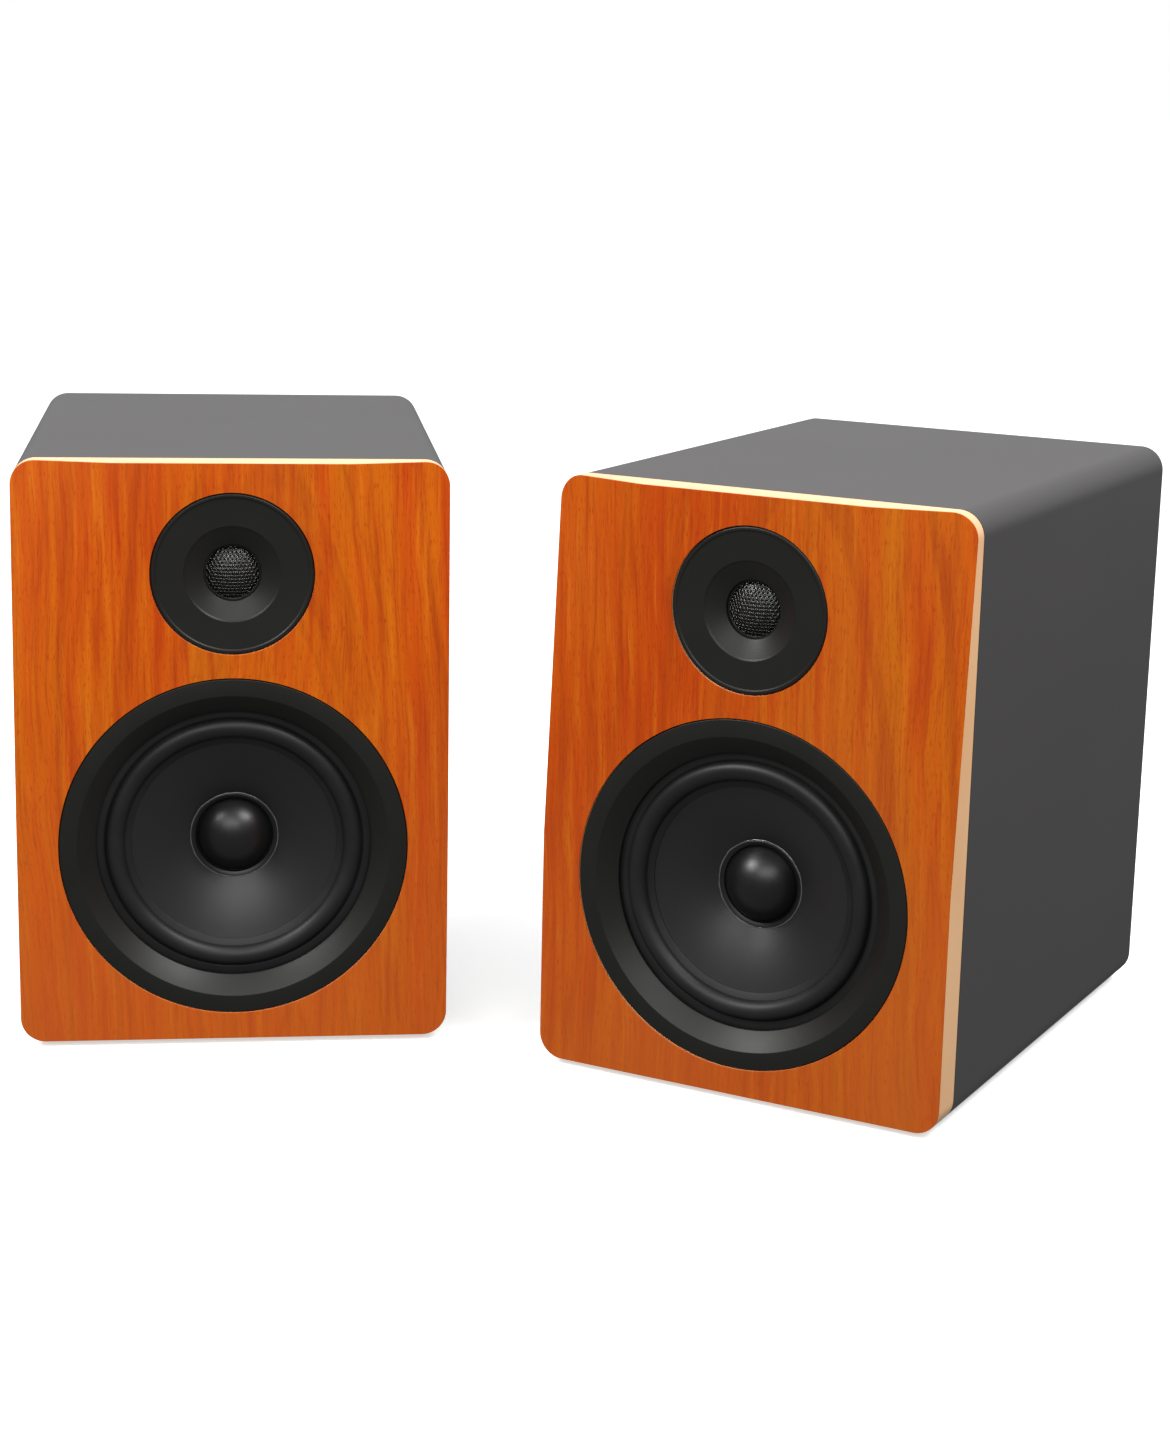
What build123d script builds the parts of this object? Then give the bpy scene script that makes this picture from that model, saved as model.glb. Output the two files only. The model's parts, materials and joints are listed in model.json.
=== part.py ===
"""A pair of two-way desktop loudspeakers, toed in towards the listener.

Every speaker is drawn in its own frame: X across the front as seen from the front, Y from the
front plane into the cabinet, Z up from the desk. placed() then stands it at its place in the pair.
The pair's frame has its origin on the desk under the middle of the pair, fronts facing -Y.
"""
from build123d import *
import math
import os

# ---- cabinet ---------------------------------------------------------------------------
WIDTH = 216.0              # across the front baffle
HEIGHT = 296.4             # cabinet without its feet
DEPTH = 289.0              # baffle included
BAFFLE_T = 19.5            # front board with its veneer
VENEER_T = 0.8
CORNER_R = 12.5            # long edges of the cabinet and corners of the baffle
BOARD_T = 15.0             # wrapped boards and rear board
REAR_RECESS = 3.0          # rear board behind the sleeve's back edge
FOOT_R = 9.0
FOOT_H = 3.0
FOOT_INSET = 30.0          # foot centre from the cabinet's sides and ends
INNER_CORNER_R = 0.5

# ---- bevelled top corners of the baffle --------------------------------------------------
FACET_TOP_X = 58.4         # where the bevel starts on the top edge, from the middle
FACET_SIDE_Z = 117.0       # where it starts on the side edge, above the cabinet's bottom
FACET_DEPTH = 11.7         # depth taken off at the very corner

# ---- places of the drivers, above the cabinet's bottom -----------------------------------
TWEETER_UP = 241.3
WOOFER_UP = 101.2

# ---- woofer ------------------------------------------------------------------------------
RING_R = 87.2              # trim ring
RING_FLAT = 8.7            # width of its flat outer band
RING_SLOPE = 9.2           # width of its bevel
RING_LAND = 0.8
RING_FRONT = 0.3           # ring and tweeter plate lie just below the veneer
RING_T = 8.0
REBATE_GAP = 0.4           # radial room round the ring and the tweeter plate
FLANGE_IN = 4.2            # basket flange inside the ring's edge
FLANGE_T = 3.0
HOLE_IN = 7.0              # through hole in the baffle inside the flange's edge
SURROUND_IN = 22.4         # outer edge of the roll inside the ring's edge
SURROUND_LIP = 5.1         # flat rubber flange outside the roll
SURROUND_T = 0.8
ROLL_W = 9.95              # across the half roll
ROLL_H = 3.5
SURROUND_LIP_T = 1.2
LEDGE_SET = 2.5            # basket ledge behind the trim ring
LEDGE_T = 1.5
LEDGE_ROOM = 0.3           # ledge beyond the surround's lip
ROLL_ROOM = 0.4            # ledge's inner edge outside the roll
CONE_EDGE_Y = 11.6         # depth of the cone's outer edge
COLLAR_R = 22.0            # glue ring round the dust cap
COLLAR_Y = 25.0
CONE_T = 0.8
CONE_LAP = 3.2             # surround lapped over the cone
CAP_R = 19.0
CAP_H = 12.6
CAP_T = 0.6
FORMER_R = 13.5            # voice coil former, outside
FORMER_T = 0.3
WINDING_T = 0.6
WINDING_L = 9.5
COIL_GAP = 0.5             # radial air gap on either side of the coil
SPIDER_R = 46.0
SPIDER_Y = 34.0
SPIDER_T = 0.5
SPIDER_WAVE = 1.4
SPIDER_WAVES = 10
SPIDER_LEDGE = 4.5         # flat edge glued to the basket
BASKET_T = 2.0
BASKET_END_Y = 48.5
SPOKES = 6
SPOKE_W = 14.0
WINDOW_SET = 4.0           # windows behind the flange and inside the spider's edge
WINDOW_BAND = 12.0         # windows either side of the roll's edge
WINDOW_FOOT = 16.0         # windows beyond the spider
WINDOW_END = 3.0           # windows in front of the spider
TOP_PLATE_R = 41.0
TOP_PLATE_T = 6.0
MAGNET_R = 45.0
MAGNET_HOLE_R = 22.0
MAGNET_T = 16.0
YOKE_R = 42.0
YOKE_T = 6.0

# ---- tweeter -----------------------------------------------------------------------------
PLATE_R = 40.25
PLATE_T = 5.2              # plate at its rim
BEAD_W = 2.2               # raised bead round the rim
BEAD_H = 0.5
GUIDE_R = 23.6             # outer edge of the waveguide
GUIDE_STEP = 0.6
THROAT_R = 14.2
THROAT_Y = 5.2
BOSS_R = 33.5              # rear boss of the plate
BOSS_END_Y = 10.0
DOME_SEAT_R = 15.4
DOME_SEAT_Y = 8.0
MESH_R = 13.7
MESH_H = 5.8
MESH_T = 0.5
MESH_RIM = 0.8
MESH_LAP = 0.6             # rim under the dome's edge
DOME_RIM_R = 14.9
DOME_R = 12.5
DOME_H = 4.5
DOME_T = 0.4
DOME_RIM_Y = 8.9
DOME_FORMER_L = 5.2
T_PLATE_R = 33.0
T_PLATE_T = 3.0
T_MAGNET_R = 30.0
T_MAGNET_HOLE_R = 16.0
T_MAGNET_T = 10.0
T_YOKE_T = 3.0
TWEETER_HOLE_GAP = 0.5     # radial room round the tweeter's boss

# ---- screws ------------------------------------------------------------------------------
SCREW_R = 1.8
SCREW_HEAD_R = 3.5
SCREW_HEAD_T = 2.2
SCREW_L = 9.2
SCREW_HOLE_R = 2.2
SCREW_IN = 4.0             # woofer screws inside the flange's edge
POCKET_GAP = 0.5

# ---- bass reflex port --------------------------------------------------------------------
PORT_UP = 237.0
PORT_R = 22.0
PORT_WALL = 2.0
PORT_L = 95.0
PORT_MOUTH_R = 31.0
PORT_BOSS_R = 33.0
PORT_FLANGE_R = 37.0
PORT_FLANGE_T = 2.5
PORT_FLARE = 13.0

# ---- rear plates and spring-clip terminals -----------------------------------------------
REAR_PLATE_T = 2.5
CUP_W = 84.0
CUP_H = 72.0
CUP_UP = 84.0
AMP_W = 156.0
AMP_H = 168.0
AMP_UP = 107.0
PLATE_CORNER_R = 6.0
CUTOUT_CORNER_R = 2.0
PLATE_LAP = 9.0            # plate beyond its cut-out, where the screws go
SCREW_EDGE = 4.5           # screw centre from a plate's edge
BLOCK_W = 44.0             # terminal block through its plate
BLOCK_H = 30.0
BLOCK_D = 15.0
BLOCK_LIP = 2.5
BLOCK_LIP_T = 1.5
BLOCK_CORNER_R = 1.0
BLOCK_LIP_CORNER_R = 2.0
SLOT_FLOOR = 3.0           # wall left behind a lever's slot
LEVER_W = 12.0
LEVER_L = 17.0
LEVER_T = 3.0
LEVER_GRIP = 3.0           # grip ridge at the lever's free end
LEVER_PITCH = 20.0
LEVER_GAP = 0.4
LEVER_TOP = 10.0           # pivot above the block's middle
PIVOT_R = 1.2
PIVOT_L = 1.5
PIVOT_GAP = 0.08
WIRE_HOLE_R = 1.8
WIRE_HOLE_D = 10.0
WIRE_EDGE = 1.4            # wall under a wire hole
AMP_BLOCK_X = -40.0
AMP_BLOCK_UP = 112.0

# ---- amplifier ---------------------------------------------------------------------------
KNOB_UP = 168.0
KNOB_X = (-46.0, -14.0, 14.0)          # volume, treble, bass
KNOB_R = (10.0, 8.0, 8.0)
KNOB_L = 14.0
KNOB_GAP = 1.0
KNOB_EDGE = 1.0                         # chamfer round the face
KNOB_FACE_T = 3.0
KNOB_MARK = 1.2                         # pointer groove
KNOB_MARK_D = 0.8
FLUTES = 18
FLUTE_R = 0.5
FLUTE_START = 3.0                       # plain skirt before the flutes
SHAFT_R = 3.0
SHAFT_HOLE_R = 3.5
SHAFT_FIT = 0.06
POT_W = 17.0
POT_T = 8.5
POT_FLOOR = 1.0
SHAFT_END_GAP = 0.5
LAMP_X = 46.0
LAMP_R = 2.5
LAMP_L = 8.0
LAMP_PROUD = 1.2
JACK_X = (18.0, 38.0)
JACK_UP = 132.0
JACK_R = 4.15
JACK_BORE_R = 1.7
JACK_L = 9.0
JACK_COLLAR_R = 6.5
JACK_COLLAR_T = 1.5
AUX_X = 58.0
AUX_R = 4.0
AUX_BORE_R = 1.8
AUX_L = 2.0
AUX_DEPTH = 14.0
JACK_BODY = 12.0
FIN_COUNT = 12
FIN_PITCH = 5.0
FIN_T = 2.2
FIN_H = 56.0
FIN_D = 9.0
FIN_X = -40.0
FIN_UP = 60.0
INLET_X = 40.0
INLET_UP = 58.0
INLET_W = 56.0
INLET_H = 30.0
INLET_LIP = 3.0
INLET_LIP_T = 2.0
INLET_CORNER_R = 2.0
INLET_LIP_CORNER_R = 3.0
INLET_D = 20.0
SOCKET_X = -13.0           # from the middle of the inlet module
SOCKET_W = 15.6
SOCKET_H = 8.2
SOCKET_D = 13.0
SOCKET_FLAT = 0.1          # flat left at each end of the socket
PIN_ROOT = 1.0
PIN_R = 1.2
PIN_PITCH = 8.6
PIN_L = 9.5
ROCKER_X = 14.0            # from the middle of the inlet module
ROCKER_W = 12.4
ROCKER_H = 19.0
ROCKER_T = 8.0
ROCKER_GAP = 0.5
ROCKER_TILT = 7.0          # degrees, either side of the middle
ROCKER_PIN_R = 1.5
ROCKER_PIN_L = 1.5
ROCKER_TAPER = 2.0         # rocker's sides in towards its back
ROCKER_RISE = 1.5          # its ends above its middle
ROCKER_DIP = 0.2
ROCKER_WELL = 5.0          # room behind the rocker
BOARD_W = 132.0
BOARD_H = 96.0
BOARD_UP = 126.0
PCB_T = 1.6
BOARD_STAND = 26.0         # circuit board in front of the amplifier plate
POST_R = 3.0
POST_EDGE = 6.0
CAP_CAN_R = 11.0
CAP_CAN_L = 30.0
CAP_CAN_X = (-30.0, -2.0)
CAP_CAN_DOWN = 30.0        # below the circuit board's middle
SINK_W = 46.0
SINK_D = 22.0
SINK_H = 30.0
SINK_X = 34.0
SINK_UP = 20.0
TRANSFORMER_W = 66.0
TRANSFORMER_D = 44.0
TRANSFORMER_H = 55.0
TRANSFORMER_Y = 170.0
BOBBIN_D = 58.0
BOBBIN_W = 38.0
BOBBIN_H = 34.0

# ---- crossover ---------------------------------------------------------------------------
XOVER_W = 110.0
XOVER_D = 74.0
XOVER_Y = 190.0
XOVER_STAND = 6.0
COIL_R = 20.0
COIL_HOLE_R = 9.0
COIL_H = 18.0
XOVER_CAP_R = 8.0
XOVER_CAP_L = 34.0
COIL_X = -28.0
XOVER_CAP_X = 24.0
XOVER_CAP_Y = 18.0         # either side of the board's middle
RESISTOR_L = 28.0
RESISTOR_T = 8.0

# ---- how the pair stands -----------------------------------------------------------------
TOE_IN = 17.7              # degrees each speaker is turned towards the middle
SPACING = 259.0            # between the two front middles, across
STAGGER = 18.0             # right speaker nearer the listener

# ---- derived places ----------------------------------------------------------------------
BASE = FOOT_H
TOP = BASE + HEIGHT
TWEETER_Z = BASE + TWEETER_UP
WOOFER_Z = BASE + WOOFER_UP
PORT_Z = BASE + PORT_UP
REAR_Y = DEPTH - REAR_RECESS
REAR_PLATE_Y = REAR_Y + REAR_PLATE_T
INNER_W = WIDTH - 2 * BOARD_T
INNER_H = HEIGHT - 2 * BOARD_T
FLOOR_Z = BASE + BOARD_T
RING_INNER_R = RING_R - RING_FLAT - RING_SLOPE
RING_BACK = RING_FRONT + RING_T
FLANGE_R = RING_R - FLANGE_IN
BASKET_HOLE_R = FLANGE_R - HOLE_IN
SCREW_CIRCLE_R = FLANGE_R - SCREW_IN
SURROUND_R = RING_R - SURROUND_IN
FLANGE_BACK = RING_BACK + FLANGE_T
REBATE_R = RING_R + REBATE_GAP
TOP_PLATE_END = BASKET_END_Y + TOP_PLATE_T
MAGNET_END = TOP_PLATE_END + MAGNET_T
LEDGE_Y = RING_BACK + LEDGE_SET          # basket ledge under the surround's flange
LEDGE_R = SURROUND_R + SURROUND_LIP + LEDGE_ROOM
PAIR_Y = -DEPTH * math.cos(math.radians(TOE_IN)) / 2


# ---- shaping helpers ---------------------------------------------------------------------
def board(width, height, radius, y0, y1, x=0.0, z=0.0):
    """Upright board with rounded corners between two depths, centred on x and z."""
    outline = Plane.XZ * RectangleRounded(width, height, radius)
    return Pos(x, y1, z) * extrude(outline, y1 - y0)


def block(width, depth, height, x, y, z):
    """Box centred on x, y and z."""
    return Pos(x, y, z) * Box(width, depth, height)


def rod(radius, y0, y1, x=0.0, z=0.0):
    """Round bar along the depth."""
    return Pos(x, (y0 + y1) / 2, z) * Rot(90, 0, 0) * Cylinder(radius, y1 - y0)


def cross_rod(radius, length, x, y, z):
    """Round bar across the speaker."""
    return Pos(x, y, z) * Rot(0, 90, 0) * Cylinder(radius, length)


def post(radius, z0, z1, x, y):
    """Upright round bar."""
    return Pos(x, y, (z0 + z1) / 2) * Cylinder(radius, z1 - z0)


def turned(corners, z=0.0, x=0.0):
    """Turned piece: a closed outline of (radius, depth) corners spun about the depth axis."""
    return Pos(x, 0, z) * revolve(make_face(Polyline(*corners, close=True)), Axis.Y)


def turned_edges(edges, z=0.0):
    """Turned piece from lines and arcs that close an outline of (radius, depth)."""
    return Pos(0, 0, z) * revolve(make_face(edges), Axis.Y)


def arc_mid(radius, height, back, share=0.5):
    """Point part of the way along a dome's arc, for a dome that ends at depth back."""
    ball = (radius ** 2 + height ** 2) / (2 * height)
    angle = math.asin(radius / ball) * share
    return ball * math.sin(angle), back - height + ball - ball * math.cos(angle)


def dome_edges(radius, height, thickness, back):
    """Outline of a domed shell that bulges forward and ends at depth back."""
    inner_r = radius - thickness
    inner_h = height - thickness
    return [
        ThreePointArc((radius, back), arc_mid(radius, height, back), (0, back - height)),
        Line((0, back - height), (0, back - inner_h)),
        ThreePointArc((0, back - inner_h), arc_mid(inner_r, inner_h, back), (inner_r, back)),
        Line((inner_r, back), (radius, back)),
    ]


def corners_of(width, height, z=0.0, x=0.0):
    """Four corner places of an upright rectangle, as (x, z)."""
    return [(x + i * width / 2, z + j * height / 2) for i in (-1, 1) for j in (-1, 1)]


def cone_front(radius):
    """Depth of the cone's front face at a radius."""
    outer_r = SURROUND_R - ROLL_W
    slope = (COLLAR_Y - CONE_EDGE_Y) / (outer_r - COLLAR_R)
    return CONE_EDGE_Y + (outer_r - radius) * slope


# ---- cabinet -----------------------------------------------------------------------------
def baffle_blank():
    """Front board with its two long bevels, before the driver holes."""
    blank = board(WIDTH, HEIGHT, CORNER_R, 0, BAFFLE_T, z=BASE + HEIGHT / 2)
    for side in (-1, 1):
        on_top = Vector(side * FACET_TOP_X, 0, TOP)
        on_side = Vector(side * WIDTH / 2, 0, BASE + FACET_SIDE_Z)
        corner = Vector(side * WIDTH / 2, FACET_DEPTH, TOP)
        normal = (on_side - on_top).cross(corner - on_top)
        if normal.Y > 0:
            normal = normal * -1
        blank = split(blank, bisect_by=Plane(origin=on_top, z_dir=normal), keep=Keep.BOTTOM)
    return blank


def driver_cuts():
    """Rebates and through holes for both drivers."""
    cuts = rod(REBATE_R, -1, FLANGE_BACK, z=WOOFER_Z)
    cuts += rod(BASKET_HOLE_R, 0, BAFFLE_T + 1, z=WOOFER_Z)
    cuts += rod(PLATE_R + REBATE_GAP, -1, RING_FRONT + PLATE_T, z=TWEETER_Z)
    cuts += rod(BOSS_R + TWEETER_HOLE_GAP, 0, BAFFLE_T + 1, z=TWEETER_Z)
    return cuts


def woofer_screw_places():
    """Screw centres on the basket flange, as (x, z)."""
    turns = [math.radians(45 + 90 * i) for i in range(4)]
    return [(SCREW_CIRCLE_R * math.cos(a), WOOFER_Z + SCREW_CIRCLE_R * math.sin(a)) for a in turns]


def baffle():
    core = (Pos(0, VENEER_T, 0) * baffle_blank()) & board(
        WIDTH, HEIGHT, CORNER_R, VENEER_T, BAFFLE_T, z=BASE + HEIGHT / 2
    )
    core -= driver_cuts()
    for x, z in woofer_screw_places():
        core -= rod(SCREW_R, FLANGE_BACK - 1, RING_BACK + SCREW_L, x, z)
    return core


def front_veneer():
    blank = baffle_blank()
    return blank - Pos(0, VENEER_T, 0) * blank - driver_cuts()


def sleeve():
    """Four mitred boards that wrap round the cabinet."""
    middle = BASE + HEIGHT / 2
    wrap = board(WIDTH, HEIGHT, CORNER_R, BAFFLE_T, DEPTH, z=middle)
    wrap -= board(INNER_W, INNER_H, INNER_CORNER_R, BAFFLE_T - 1, DEPTH + 1, z=middle)
    w, h = WIDTH / 2, HEIGHT / 2
    iw, ih = INNER_W / 2, INNER_H / 2
    outlines = [
        [(-w, h), (w, h), (iw, ih), (-iw, ih)],
        [(-w, -h), (w, -h), (iw, -ih), (-iw, -ih)],
        [(-w, -h), (-w, h), (-iw, ih), (-iw, -ih)],
        [(w, -h), (w, h), (iw, ih), (iw, -ih)],
    ]
    boards = []
    for outline in outlines:
        face = Plane.XZ * make_face(Polyline(*outline, close=True))
        boards.append(wrap & Pos(0, DEPTH, middle) * extrude(face, DEPTH - BAFFLE_T))
    return boards


def rear_panel(plate_w, plate_h, plate_up):
    """Rear board with the port's hole and the cut-out behind its plate."""
    panel = board(INNER_W, INNER_H, INNER_CORNER_R, REAR_Y - BOARD_T, REAR_Y, z=BASE + HEIGHT / 2)
    panel -= rod(PORT_BOSS_R, 0, DEPTH, z=PORT_Z)
    cut_w, cut_h = plate_w - 2 * PLATE_LAP, plate_h - 2 * PLATE_LAP
    panel -= board(cut_w, cut_h, CUTOUT_CORNER_R, 0, DEPTH, z=BASE + plate_up)
    for x, z in plate_screw_places(plate_w, plate_h, plate_up):
        panel -= rod(SCREW_R, REAR_PLATE_Y - SCREW_L, DEPTH, x, z)
    return panel


def plate_screw_places(plate_w, plate_h, plate_up):
    """Screw centres round a rear plate; a tall plate has one more half way up each side."""
    wide, high = plate_w - 2 * SCREW_EDGE, plate_h - 2 * SCREW_EDGE
    places = corners_of(wide, high, BASE + plate_up)
    if plate_h > 2 * CUP_H:
        places += [(-wide / 2, BASE + plate_up), (wide / 2, BASE + plate_up)]
    return places


def feet():
    reach_x = WIDTH / 2 - FOOT_INSET
    return [
        post(FOOT_R, 0, FOOT_H, x, y)
        for x in (-reach_x, reach_x)
        for y in (FOOT_INSET, DEPTH - FOOT_INSET)
    ]


def screws(plate_w, plate_h, plate_up):
    """All the identical wood screws of one speaker."""
    made = []
    for x, z in woofer_screw_places():
        head = rod(SCREW_HEAD_R, RING_BACK - SCREW_HEAD_T, RING_BACK, x, z)
        made.append(head + rod(SCREW_R, RING_BACK, RING_BACK + SCREW_L, x, z))
    for x, z in plate_screw_places(plate_w, plate_h, plate_up):
        head = rod(SCREW_HEAD_R, REAR_PLATE_Y, REAR_PLATE_Y + SCREW_HEAD_T, x, z)
        made.append(head + rod(SCREW_R, REAR_PLATE_Y - SCREW_L, REAR_PLATE_Y, x, z))
    return made


def port_tube():
    """Reflex tube with a flared mouth and a flange behind the rear board."""
    end = REAR_Y + PORT_FLANGE_T
    start = end - PORT_L
    flare = end - PORT_FLARE
    bulge = (PORT_R + (PORT_MOUTH_R - PORT_R) * 0.25, flare + PORT_FLARE * 0.7)
    outer_r = PORT_R + PORT_WALL
    edges = [
        Line((PORT_R, start), (PORT_R, flare)),
        ThreePointArc((PORT_R, flare), bulge, (PORT_MOUTH_R, end)),
        Polyline(
            (PORT_MOUTH_R, end),
            (PORT_FLANGE_R, end),
            (PORT_FLANGE_R, REAR_Y),
            (PORT_BOSS_R, REAR_Y),
            (PORT_BOSS_R, end - PORT_FLANGE_T - PORT_WALL),
            (outer_r, flare - PORT_WALL),
            (outer_r, start),
            (PORT_R, start),
        ),
    ]
    return turned_edges(edges, PORT_Z)


# ---- woofer ------------------------------------------------------------------------------
def woofer_trim_ring():
    ring = turned(
        [
            (RING_R, RING_FRONT),
            (RING_R - RING_FLAT, RING_FRONT),
            (RING_INNER_R, RING_BACK - RING_LAND),
            (RING_INNER_R, RING_BACK),
            (RING_R, RING_BACK),
        ],
        WOOFER_Z,
    )
    for x, z in woofer_screw_places():
        pocket = SCREW_HEAD_T + POCKET_GAP
        ring -= rod(SCREW_HEAD_R + POCKET_GAP, RING_BACK - pocket, RING_BACK + 1, x, z)
    return ring


def woofer_basket():
    """Pressed basket: flange, windowed cone of spokes, spider ledge and back plate."""
    lip_y = LEDGE_Y + LEDGE_T
    well_r = SPIDER_R - SPIDER_LEDGE
    lip_r = SURROUND_R + ROLL_ROOM
    shell = turned(
        [
            (FLANGE_R, RING_BACK),
            (LEDGE_R, RING_BACK),
            (LEDGE_R, LEDGE_Y),
            (lip_r, LEDGE_Y),
            (lip_r, lip_y),
            (SPIDER_R, SPIDER_Y),
            (well_r, SPIDER_Y),
            (well_r, BASKET_END_Y - BASKET_T),
            (COLLAR_R, BASKET_END_Y - BASKET_T),
            (COLLAR_R, BASKET_END_Y),
            (well_r + BASKET_T, BASKET_END_Y),
            (well_r + BASKET_T, SPIDER_Y + BASKET_T),
            (SPIDER_R + BASKET_T, SPIDER_Y + BASKET_T),
            (LEDGE_R + BASKET_T, FLANGE_BACK),
            (FLANGE_R, FLANGE_BACK),
        ],
        WOOFER_Z,
    )
    windows = turned(
        [
            (SPIDER_R - WINDOW_SET, SPIDER_Y - WINDOW_END),
            (SPIDER_R + WINDOW_FOOT, SPIDER_Y - WINDOW_END),
            (LEDGE_R + WINDOW_BAND, FLANGE_BACK + WINDOW_SET),
            (SURROUND_R - WINDOW_BAND, FLANGE_BACK + WINDOW_SET),
        ],
        WOOFER_Z,
    )
    for i in range(SPOKES):
        spoke = Rot(0, 360 / SPOKES * i, 0) * block(SPOKE_W, DEPTH, FLANGE_R, 0, 0, FLANGE_R / 2)
        windows -= Pos(0, 0, WOOFER_Z) * spoke
    shell -= windows
    for x, z in woofer_screw_places():
        shell -= rod(SCREW_HOLE_R, RING_BACK - 1, FLANGE_BACK + 1, x, z)
    return shell


def woofer_surround():
    """Half-roll rubber edge: a flat flange on the basket, the roll, and a lap on the cone."""
    outer_r = SURROUND_R + SURROUND_LIP
    inner_r = SURROUND_R - ROLL_W
    lap_r = inner_r - CONE_LAP
    flange_front = LEDGE_Y - SURROUND_LIP_T
    crest_r = SURROUND_R - ROLL_W / 2
    crest_y = flange_front - ROLL_H
    front_end = (inner_r, cone_front(inner_r) - SURROUND_T)
    back_start = (inner_r + SURROUND_T, cone_front(inner_r))
    edges = [
        Line((outer_r, flange_front), (SURROUND_R, flange_front)),
        ThreePointArc((SURROUND_R, flange_front), (crest_r, crest_y), front_end),
        Polyline(
            front_end,
            (lap_r, cone_front(lap_r) - SURROUND_T),
            (lap_r, cone_front(lap_r)),
            (inner_r, cone_front(inner_r)),
            back_start,
        ),
        ThreePointArc(back_start, (crest_r, crest_y + SURROUND_T), (SURROUND_R - SURROUND_T, LEDGE_Y)),
        Polyline((SURROUND_R - SURROUND_T, LEDGE_Y), (outer_r, LEDGE_Y), (outer_r, flange_front)),
    ]
    return turned_edges(edges, WOOFER_Z)


def woofer_cone():
    outer_r = SURROUND_R - ROLL_W
    return turned(
        [
            (outer_r, CONE_EDGE_Y),
            (FORMER_R, cone_front(FORMER_R)),
            (FORMER_R, cone_front(FORMER_R) + CONE_T),
            (outer_r, CONE_EDGE_Y + CONE_T),
        ],
        WOOFER_Z,
    )


def woofer_dust_cap():
    return turned_edges(dome_edges(CAP_R, CAP_H, CAP_T, cone_front(CAP_R)), WOOFER_Z)


def woofer_voice_coil():
    """Thin former with its winding, in the gap between pole and top plate."""
    start = cone_front(FORMER_R)
    winding_end = TOP_PLATE_END + (WINDING_L - TOP_PLATE_T) / 2
    return turned(
        [
            (FORMER_R - FORMER_T, start),
            (FORMER_R, start),
            (FORMER_R, winding_end - WINDING_L),
            (FORMER_R + WINDING_T, winding_end - WINDING_L),
            (FORMER_R + WINDING_T, winding_end),
            (FORMER_R - FORMER_T, winding_end),
        ],
        WOOFER_Z,
    )


def woofer_spider():
    """Corrugated disc that centres the coil: flat where it is glued to the basket's ledge."""
    ledge_inner = SPIDER_R - SPIDER_LEDGE
    step = (ledge_inner - FORMER_R) / SPIDER_WAVES
    front = [(SPIDER_R, SPIDER_Y - SPIDER_T), (ledge_inner, SPIDER_Y - SPIDER_T)]
    back = [(SPIDER_R, SPIDER_Y), (ledge_inner, SPIDER_Y)]
    for i in range(1, SPIDER_WAVES + 1):
        r = ledge_inner - step * i
        dip = SPIDER_WAVE if i % 2 else 0.0
        front.append((r, SPIDER_Y - SPIDER_T - dip))
        back.append((r, SPIDER_Y - dip))
    return turned(front + back[::-1], WOOFER_Z)


def woofer_magnet():
    return turned(
        [
            (MAGNET_HOLE_R, TOP_PLATE_END),
            (MAGNET_R, TOP_PLATE_END),
            (MAGNET_R, MAGNET_END),
            (MAGNET_HOLE_R, MAGNET_END),
        ],
        WOOFER_Z,
    )


def woofer_pole_pieces():
    """Steel top plate, and back plate with the pole."""
    gap_r = FORMER_R + WINDING_T + COIL_GAP
    pole_r = FORMER_R - FORMER_T - COIL_GAP
    top_plate = turned(
        [
            (gap_r, BASKET_END_Y),
            (TOP_PLATE_R, BASKET_END_Y),
            (TOP_PLATE_R, TOP_PLATE_END),
            (gap_r, TOP_PLATE_END),
        ],
        WOOFER_Z,
    )
    yoke = rod(YOKE_R, MAGNET_END, MAGNET_END + YOKE_T, z=WOOFER_Z)
    yoke += rod(pole_r, BASKET_END_Y, MAGNET_END, z=WOOFER_Z)
    return [top_plate, yoke]


# ---- tweeter -----------------------------------------------------------------------------
def tweeter_faceplate():
    """Round plate with a rim bead, a flat flange and a conical waveguide."""
    face = RING_FRONT + BEAD_H
    return turned(
        [
            (PLATE_R, face),
            (PLATE_R - BEAD_W / 2, RING_FRONT),
            (PLATE_R - BEAD_W, face),
            (GUIDE_R, face),
            (GUIDE_R - GUIDE_STEP, face + GUIDE_STEP),
            (THROAT_R, THROAT_Y),
            (THROAT_R, DOME_SEAT_Y),
            (DOME_SEAT_R, DOME_SEAT_Y),
            (DOME_SEAT_R, BOSS_END_Y),
            (BOSS_R, BOSS_END_Y),
            (BOSS_R, RING_FRONT + PLATE_T),
            (PLATE_R, RING_FRONT + PLATE_T),
        ],
        TWEETER_Z,
    )


def tweeter_grille():
    """Domed guard in the throat: its outline as a plain shell, with a flat rim."""
    rim = turned(
        [
            (MESH_R - MESH_LAP, DOME_SEAT_Y - MESH_RIM),
            (THROAT_R, DOME_SEAT_Y - MESH_RIM),
            (THROAT_R, DOME_SEAT_Y),
            (MESH_R - MESH_LAP, DOME_SEAT_Y),
        ],
        TWEETER_Z,
    )
    return rim + turned_edges(dome_edges(MESH_R, MESH_H, MESH_T, DOME_SEAT_Y), TWEETER_Z)


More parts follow.
